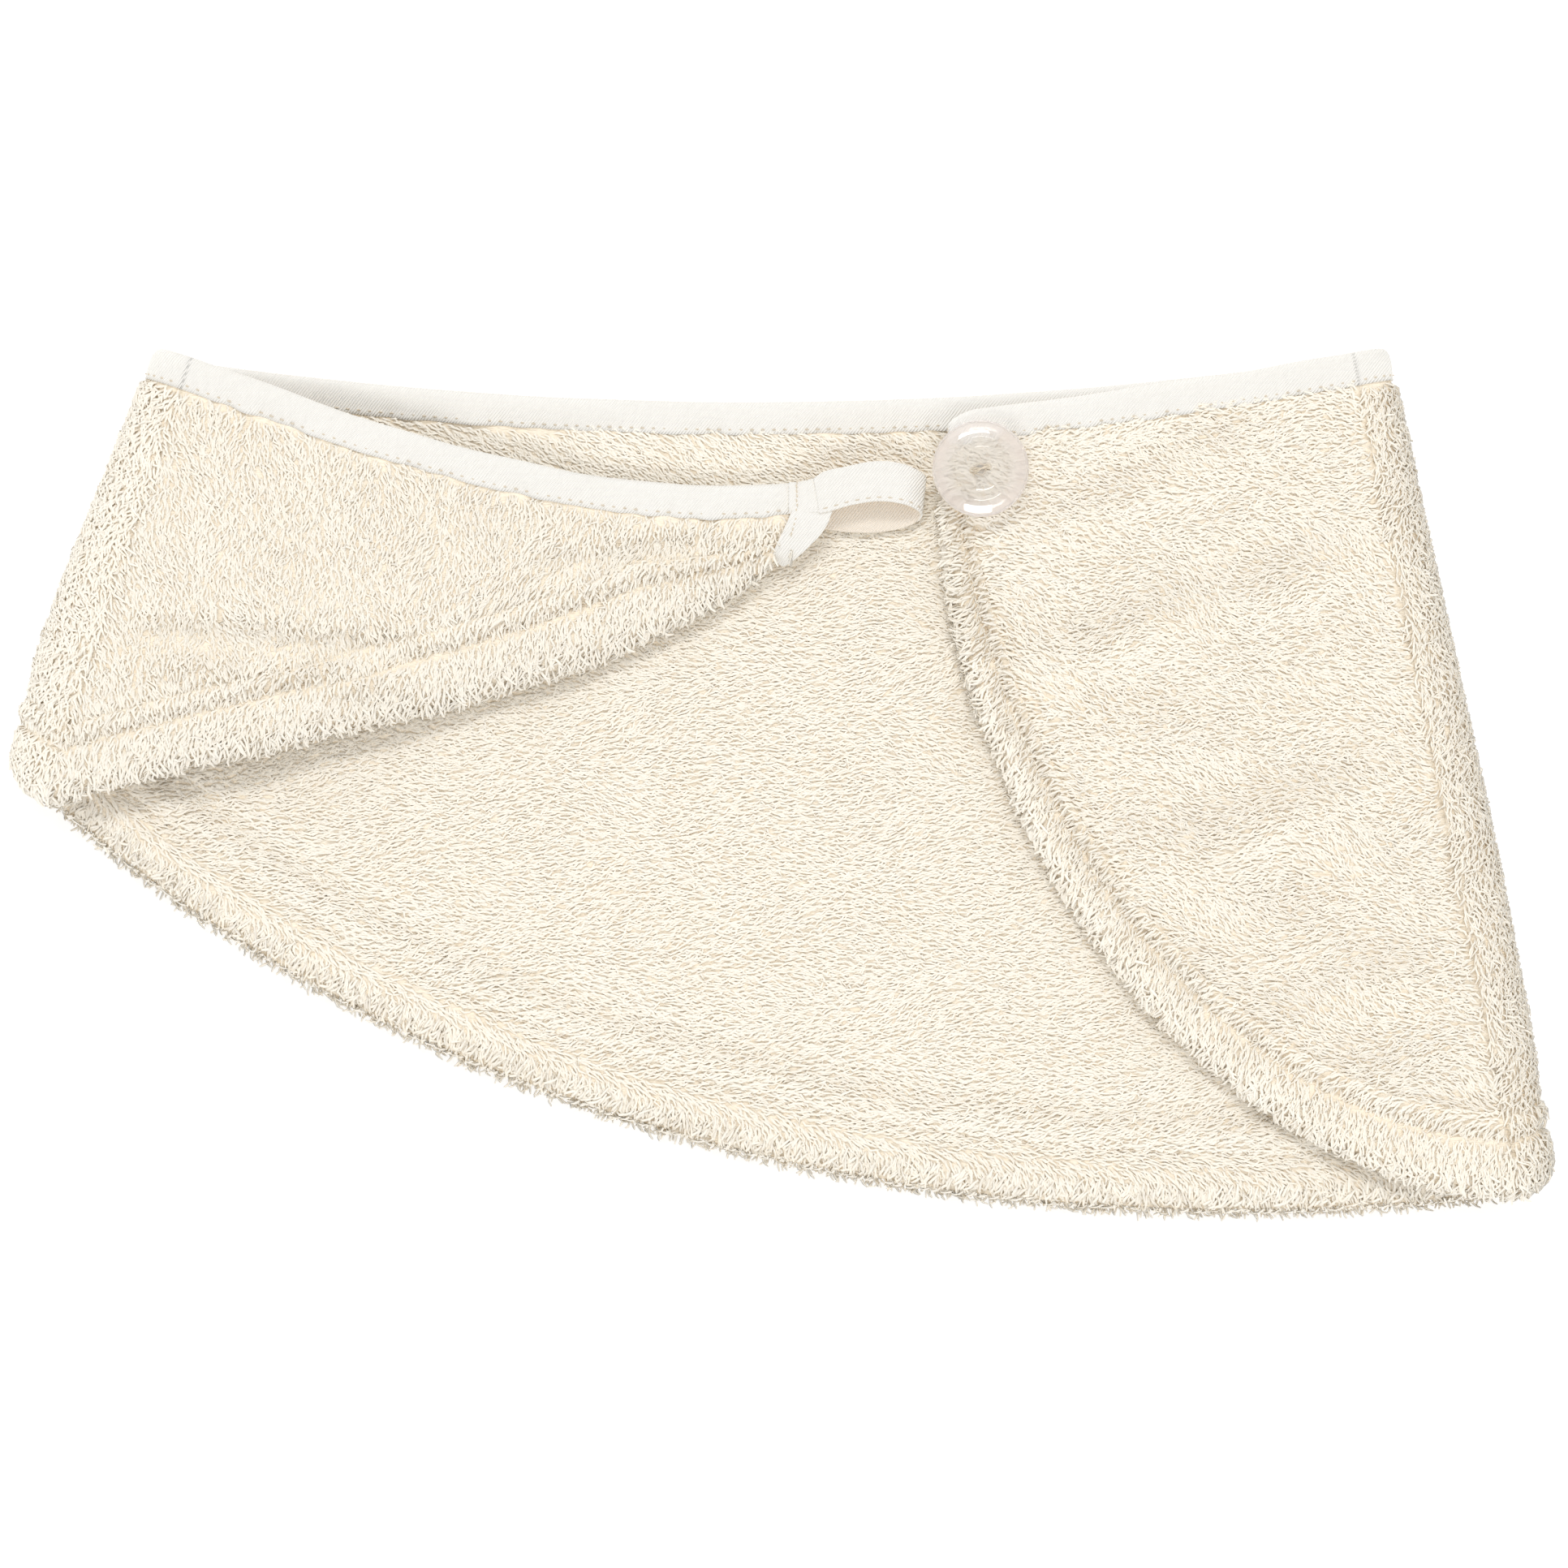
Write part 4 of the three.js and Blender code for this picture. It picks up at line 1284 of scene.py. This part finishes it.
PATCH_RIBBON = [
    (1.2, 69.9, 12.5, 0.0, 3.9, 0.0),
    (3.2, 69.9, 12.75, 0.0, 4.0, 0.0),
    (5.6, 70.2, 12.85, -0.4, 4.0, 0.0),
    (8.6, 70.7, 12.8, -0.8, 4.2, 0.0),
]
BUTTON_TURN = math.radians(15)
HOLE_OFFSET = 1.8


def lathe(name, profile, steps=96):
    """Spins a profile of radii and heights about the vertical axis through the frame's zero."""
    mesh = bpy.data.meshes.new(name)
    mesh.from_pydata(
        [(r, 0, z) for r, z in profile], [(i, i + 1) for i in range(len(profile) - 1)], []
    )
    thing = bpy.data.objects.new(name, mesh)
    bpy.context.scene.collection.objects.link(thing)
    bpy.ops.object.select_all(action="DESELECT")
    thing.select_set(True)
    bpy.context.view_layer.objects.active = thing
    bpy.ops.object.mode_set(mode="EDIT")
    bpy.ops.mesh.select_all(action="SELECT")
    bpy.ops.mesh.spin(steps=steps, angle=2 * math.pi, center=(0, 0, 0), axis=(0, 0, 1))
    bpy.ops.mesh.select_all(action="SELECT")
    bpy.ops.mesh.remove_doubles(threshold=0.01 * MM)
    bpy.ops.mesh.normals_make_consistent(inside=False)
    bpy.ops.object.mode_set(mode="OBJECT")
    return thing


def bore(thing, places, radius):
    """Drills upright holes through a piece."""
    for x, y in places:
        bpy.ops.object.select_all(action="DESELECT")
        bpy.ops.mesh.primitive_cylinder_add(vertices=32, radius=radius, depth=0.1, location=(x, y, 0))
        drill = bpy.context.object
        cut = thing.modifiers.new("hole", "BOOLEAN")
        cut.operation, cut.object, cut.solver = "DIFFERENCE", drill, "EXACT"
        bpy.context.view_layer.objects.active = thing
        bpy.ops.object.modifier_apply(modifier="hole")
        bpy.data.objects.remove(drill)


def strand(name, paths, radius, body):
    """A few round threads, each through its own points, as one piece."""
    rows = np.array([smooth_path(np.asarray(path) * MM, 14) for path in paths])
    side = np.zeros((len(rows), 3))
    side[:, 2] = 1
    side += 0.3 * unit(rows[:, -1] - rows[:, 0])[:, [1, 2, 0]]
    radii = np.full(rows.shape[:2], radius) * np.r_[0.6, np.ones(12), 0.6][None, :]
    made = make_object(name, tube_mesh(name, rows, radii, unit(side), 8), seam_thread(), "thread")
    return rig.ride(made, body)


# ---- Operators ----


class HEADBAND_OT_stage(bpy.types.Operator):
    """Floor, lights and camera"""

    bl_idname = "headband.stage"
    bl_label = "Stage"

    def execute(self, context):
        bpy.ops.object.select_all(action="DESELECT")
        bpy.ops.mesh.primitive_plane_add(size=6, location=(0, 0, 0))
        floor = context.object
        floor.name = "floor"
        floor.data.materials.append(studio_white())
        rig.stage(floor)
        world = bpy.data.worlds.new("studio")
        world.use_nodes = True
        background = world.node_tree.nodes["Background"]
        background.inputs["Color"].default_value = (1, 1, 1, 1)
        background.inputs["Strength"].default_value = 0.82
        context.scene.world = world
        context.scene.view_settings.view_transform = "Standard"
        # Light that bounces among the pale strands is what warms and lifts the gaps between them.
        context.scene.cycles.max_bounces = 14
        context.scene.cycles.diffuse_bounces = 12
        self.light("softbox_top", (-0.06, 1.0, 1.5), (0.74, 0.32), 8.2)
        self.light("softbox_bottom", (0.04, -0.95, 1.55), (0.8, 0.36), 5.4)
        self.camera(context)
        return {"FINISHED"}

    def light(self, name, place, size, power):
        data = bpy.data.lights.new(name, "AREA")
        data.shape = "RECTANGLE"
        data.size, data.size_y = size
        data.energy = power
        lamp = bpy.data.objects.new(name, data)
        lamp.location = place
        lamp.rotation_mode = "QUATERNION"
        lamp.rotation_quaternion = (-Vector(place)).to_track_quat("-Z", "Y")
        bpy.context.scene.collection.objects.link(lamp)

    def camera(self, context):
        sizes = context.scene.headband_sizes
        data = bpy.data.cameras.new("camera")
        data.lens = 100
        data.sensor_width = 36
        eye = bpy.data.objects.new("camera", data)
        distance = sizes.view_width * data.lens / data.sensor_width
        eye.location = (*DRAFT_ZERO, distance + CLOTH_THICKNESS)
        context.scene.collection.objects.link(eye)
        context.scene.camera = eye


class HEADBAND_OT_cloth(bpy.types.Operator):
    """The woven ground and the pile of the towelling"""

    bl_idname = "headband.cloth"
    bl_label = "Towelling"

    def execute(self, context):
        for number, (part, (_, count, nodes)) in enumerate(PARTS.items()):
            columns = panel_columns(part, count)
            grid = sweep_grid(columns)
            mesh = swept_mesh(f"{part}_cloth", grid)
            bare = is_sparse(part, grid, cloth_section(columns[0])[2]).astype(float)
            add_value(mesh, "bare", np.concatenate([bare.ravel(), [0, 0]]))
            cloth = make_object(f"{part}_cloth", mesh, terry_ground(), "terry")
            attach(cloth, part)
            if nodes:
                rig.replaces(cloth, *nodes)
            pile = grow_pile(part, columns, 100 + number)
            self.declare(cloth, columns, pile, part)
        return {"FINISHED"}

    def declare(self, cloth, columns, pile, part):
        """States the flat size of the cloth, from its columns laid side by side."""
        middle = [one_point(c, c.length / 2, CLOTH_THICKNESS / 2) for c in columns]
        steps = np.linalg.norm(np.diff(middle, axis=0), axis=1)
        lengths = np.array([c.length for c in columns])
        area = float(np.sum(steps * (lengths[1:] + lengths[:-1]) / 2))
        flat = (float(steps.sum()), float(lengths.max()))
        rests = [] if part == "back" else ["back_terry"]
        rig.sheet(cloth, flat=flat, held="folded", rests_on=rests, area=area, with_pieces=pile)


class HEADBAND_OT_tape(bpy.types.Operator):
    """The folded tape over the bound edge"""

    bl_idname = "headband.tape"
    bl_label = "Binding tape"

    def execute(self, context):
        for part in PARTS:
            mesh = swept_mesh(f"{part}_tape", tape_grid(part))
            tape = make_object(f"{part}_tape", mesh, tape_cotton(), "binding_tape")
            attach(tape, part)
            if not part.endswith("fold"):
                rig.replaces(tape, f"{part}_binding")
        return {"FINISHED"}


class HEADBAND_OT_seams(bpy.types.Operator):
    """The stitches of the binding and of the hem"""

    bl_idname = "headband.seams"
    bl_label = "Seams"

    def execute(self, context):
        for part in PARTS:
            needle, bobbin = seam(
                part,
                f"{part}_binding_stitch",
                lambda c: STITCH_LINE,
                0.72 * MM,
                4.28 * MM,
                girth=0.17 * MM,
                length=0.9 * MM,
            )
            hem_needle, hem_bobbin = seam(
                part,
                f"{part}_hem_stitch",
                lambda c: c.length - HEM_STITCHES * hem_share(c.length),
                1.75 * MM,
                5.0 * MM,
                girth=0.24 * MM,
            )
            if not part.endswith("fold"):
                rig.replaces(needle, f"{part}_binding_needle_thread")
                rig.replaces(bobbin, f"{part}_binding_bobbin_thread")
                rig.replaces(hem_needle, f"{part}_hem_needle_thread")
                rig.replaces(hem_bobbin, f"{part}_hem_bobbin_thread")
        return {"FINISHED"}


class HEADBAND_OT_loop(bpy.types.Operator):
    """The fastening loop, its tail on the tip, and their stitches"""

    bl_idname = "headband.loop"
    bl_label = "Loop"

    def execute(self, context):
        loop = Ribbon(LOOP_RIBBON, 150, 1.0 * MM, 31)
        tail = Ribbon(TAIL_RIBBON, 70, 0.9 * MM, 32)
        patch = Ribbon(PATCH_RIBBON, 30, 0.9 * MM, 33)
        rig.replaces(self.band("loop_band", loop, "loop"), "loop_tape")
        edge = stitches(
            "loop_edge_stitch", loop.at(-0.79, 1.05), loop.normal, "loop", girth=0.13 * MM
        )
        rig.replaces(edge, "loop_edge_thread")
        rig.replaces(self.band("loop_tail", tail, "loop_end"), "loop_end_tail_tape")
        self.band("loop_root", patch, "loop_end")
        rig.replaces(self.tack(), "loop_bar_tack")
        return {"FINISHED"}

    def band(self, name, ribbon, body):
        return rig.ride(make_object(name, ribbon.mesh(name), tape_cotton(), "binding_tape"), body)

    def tack(self):
        """Close stitches across the root of the loop and down the edge of its tail."""
        lines = []
        for y in np.arange(66.6, 73.8, 1.15):
            x = 3.1 + 0.12 * math.sin(y * 3)
            lines.append(
                [(x, y, 13.0), (x + 0.05, y + 0.25, 13.45), (x, y + 0.5, 13.45), (x, y + 0.8, 13.0)]
            )
        for k in range(4):
            x, y = 2.9 - 0.35 * k, 65.2 - 1.25 * k
            first, last = (x, y, 12.9), (x - 0.15, y - 0.8, 12.9)
            lines.append([first, (x, y - 0.25, 13.5), (x - 0.1, y - 0.55, 13.5), last])
        places = np.array(lines)
        places[..., :2] += DRAFT_ZERO / MM
        return strand("loop_tack", places, 0.16 * MM, "loop_end")


class HEADBAND_OT_button(bpy.types.Operator):
    """The clear button and the threads that hold it"""

    bl_idname = "headband.button"
    bl_label = "Button"

    def execute(self, context):
        low, high = (np.array(corner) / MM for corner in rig.box("button"))
        middle = (low + high) / 2
        radius = (high[0] - low[0]) / 2
        base, top = low[2], high[2]
        dish = top - 2.15
        profile = [
            (0, base), (radius - 5.5, base), (radius - 3.2, base + 0.1), (radius - 1.5, base + 0.45),
            (radius - 0.5, base + 1.05), (radius - 0.06, base + 1.9), (radius, base + 2.5),
            (radius - 0.08, top - 1.35), (radius - 0.35, top - 1.02), (radius - 0.8, top - 0.82),
            (radius - 1.5, top - 0.58), (radius - 2.2, top - 0.34), (radius - 2.9, top - 0.12),
            (radius - 3.4, top - 0.02), (radius - 3.8, top), (radius - 4.3, top - 0.15),
            (radius - 4.8, top - 0.6), (radius - 5.3, top - 1.2), (radius - 5.9, top - 1.72),
            (radius - 6.9, top - 1.95), (radius - 8.8, top - 2.1), (0, dish),
        ]  # fmt: skip
        button = lathe("button_disc", np.array(profile) * MM)
        centre = np.array([*middle[:2], 0]) * MM
        button.data.transform(Matrix.Translation(Vector(centre)))
        way = np.array([math.cos(BUTTON_TURN), math.sin(BUTTON_TURN)])
        holes = [middle[:2] + way * side * HOLE_OFFSET for side in (-1, 1)]
        bore(button, [hole * MM for hole in holes], 1.0 * MM)
        bpy.ops.object.select_all(action="DESELECT")
        button.select_set(True)
        bpy.context.view_layer.objects.active = button
        bpy.ops.object.shade_smooth_by_angle(angle=math.radians(35))
        button.data.materials.clear()
        button.data.materials.append(clear_plastic())
        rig.slot(button, "clear_button")
        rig.ride(button, "button")
        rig.replaces(button, "button")
        self.threads(middle, way, base, dish)
        return {"FINISHED"}

    def threads(self, middle, way, base, dish):
        """Thread through the holes, wound below the button and caught in the cloth."""
        cross = np.array([-way[1], way[0]])

        def point(along, side, z):
            return (*(middle[:2] + way * along + cross * side), z)

        over = [
            [point(-HOLE_OFFSET, s, base + 0.3), point(-1.75, s, dish + 0.1),
             point(-0.9, s * 1.2, dish + 0.45), point(0.9, -s * 0.6, dish + 0.48),
             point(1.75, s, dish + 0.1), point(HOLE_OFFSET, s, base + 0.3)]
            for s in (-0.45, -0.1, 0.3)
        ]  # fmt: skip
        sewing = strand("button_sewing", over, 0.15 * MM, "button")
        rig.replaces(sewing, "button_sewing_thread")
        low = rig.box("button_thread_shank")[0][2] / MM
        turns = []
        for k in range(6):
            z = low + 0.2 + (base - low - 0.3) * k / 5
            ring = [
                point(1.35 * math.cos(a), 1.35 * math.sin(a), z + 0.03 * a)
                for a in np.linspace(0, 2 * math.pi, 13)
            ]
            turns.append(ring)
        wound = strand("button_shank", turns, 0.24 * MM, "shank")
        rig.replaces(wound, "button_thread_shank")
        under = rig.box("button_back_stitches")
        z = (under[0][2] + under[1][2]) / 2 / MM
        back = [
            [point(-2.3, s, z + 0.4), point(-1.2, s * 1.5, z - 0.1),
             point(1.2, -s, z - 0.1), point(2.3, s, z + 0.4)]
            for s in (-0.5, 0.0, 0.5)
        ]  # fmt: skip
        caught = strand("button_catch", back, 0.22 * MM, "button_end")
        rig.replaces(caught, "button_back_stitches")


OPERATORS = [
    HEADBAND_OT_stage, HEADBAND_OT_cloth, HEADBAND_OT_tape,
    HEADBAND_OT_seams, HEADBAND_OT_loop, HEADBAND_OT_button,
]  # fmt: skip


class HEADBAND_PG_sizes(bpy.types.PropertyGroup):
    view_width: bpy.props.FloatProperty(
        name="View width",
        description="Width that the camera takes in at the height of the back panel",
        default=0.3864,
        unit="LENGTH",
    )


def colour_property(name, description, default):
    return bpy.props.FloatVectorProperty(
        name=name, description=description, default=default, subtype="COLOR", min=0, max=1
    )


class HEADBAND_PG_colours(bpy.types.PropertyGroup):
    strand: colour_property("Strand", "Tips of the pile", (0.99, 0.945, 0.855))
    strand_warm: colour_property("Warm strand", "Warmer strands of the pile", (0.99, 0.92, 0.80))
    # Painted shade: root and ground are coloured darker and warmer than the tips, as shade deep in the pile.
    root: colour_property("Root", "Roots of the pile and the ground", (0.99, 0.86, 0.67))
    # Painted shade: the grey that a part's pile is darkened towards.
    worn: colour_property("Worn", "Duller strands", (0.62, 0.59, 0.54))
    # Painted shade in the gaps of the short combed pile.
    gap: colour_property("Gap", "Gaps in the short combed pile", (0.82, 0.70, 0.54))
    tape: colour_property("Tape", "Binding tape", (0.99, 0.97, 0.925))
    # Painted shade: the darker peach of the loop's inside.
    tape_inner_painted_shade: colour_property("Tape inside", "Inner face of the loop's tape", (0.96, 0.86, 0.73))
    # Painted shade in the valleys of the tape's weave.
    tape_shade: colour_property("Tape shade", "Valleys in the tape's weave", (0.91, 0.88, 0.81))
    thread: colour_property("Thread", "Sewing thread", (0.80, 0.70, 0.56))
    button: colour_property("Button", "Clear button", (0.97, 0.89, 0.845))
    button_light: colour_property("Button light", "Paler streaks", (1.0, 0.985, 0.955))


class HEADBAND_PT_panel(bpy.types.Panel):
    """Lists the steps that make the headband"""

    bl_idname = "HEADBAND_PT_panel"
    bl_label = "Spa headband"
    bl_space_type = "VIEW_3D"
    bl_region_type = "UI"
    bl_category = "Headband"

    def draw(self, context):
        for operator in OPERATORS:
            self.layout.operator(operator.bl_idname)
        self.layout.prop(context.scene.headband_sizes, "view_width")


CLASSES = [HEADBAND_PG_sizes, HEADBAND_PG_colours, *OPERATORS, HEADBAND_PT_panel]


def register():
    for made in CLASSES:
        bpy.utils.register_class(made)
    bpy.types.Scene.headband_sizes = bpy.props.PointerProperty(type=HEADBAND_PG_sizes)
    bpy.types.Scene.headband_colours = bpy.props.PointerProperty(type=HEADBAND_PG_colours)


def unregister():
    del bpy.types.Scene.headband_sizes
    del bpy.types.Scene.headband_colours
    for made in reversed(CLASSES):
        bpy.utils.unregister_class(made)


def main():
    register()
    bpy.ops.headband.stage()
    bpy.ops.headband.cloth()
    bpy.ops.headband.tape()
    bpy.ops.headband.seams()
    bpy.ops.headband.loop()
    bpy.ops.headband.button()
    boxes = {"cad": CAD_BOX, "visual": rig.bounds()}
    with open("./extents.json", "w") as f:
        json.dump({name: [list(corner) for corner in box] for name, box in boxes.items()}, f)


if __name__ == "__main__":
    main()
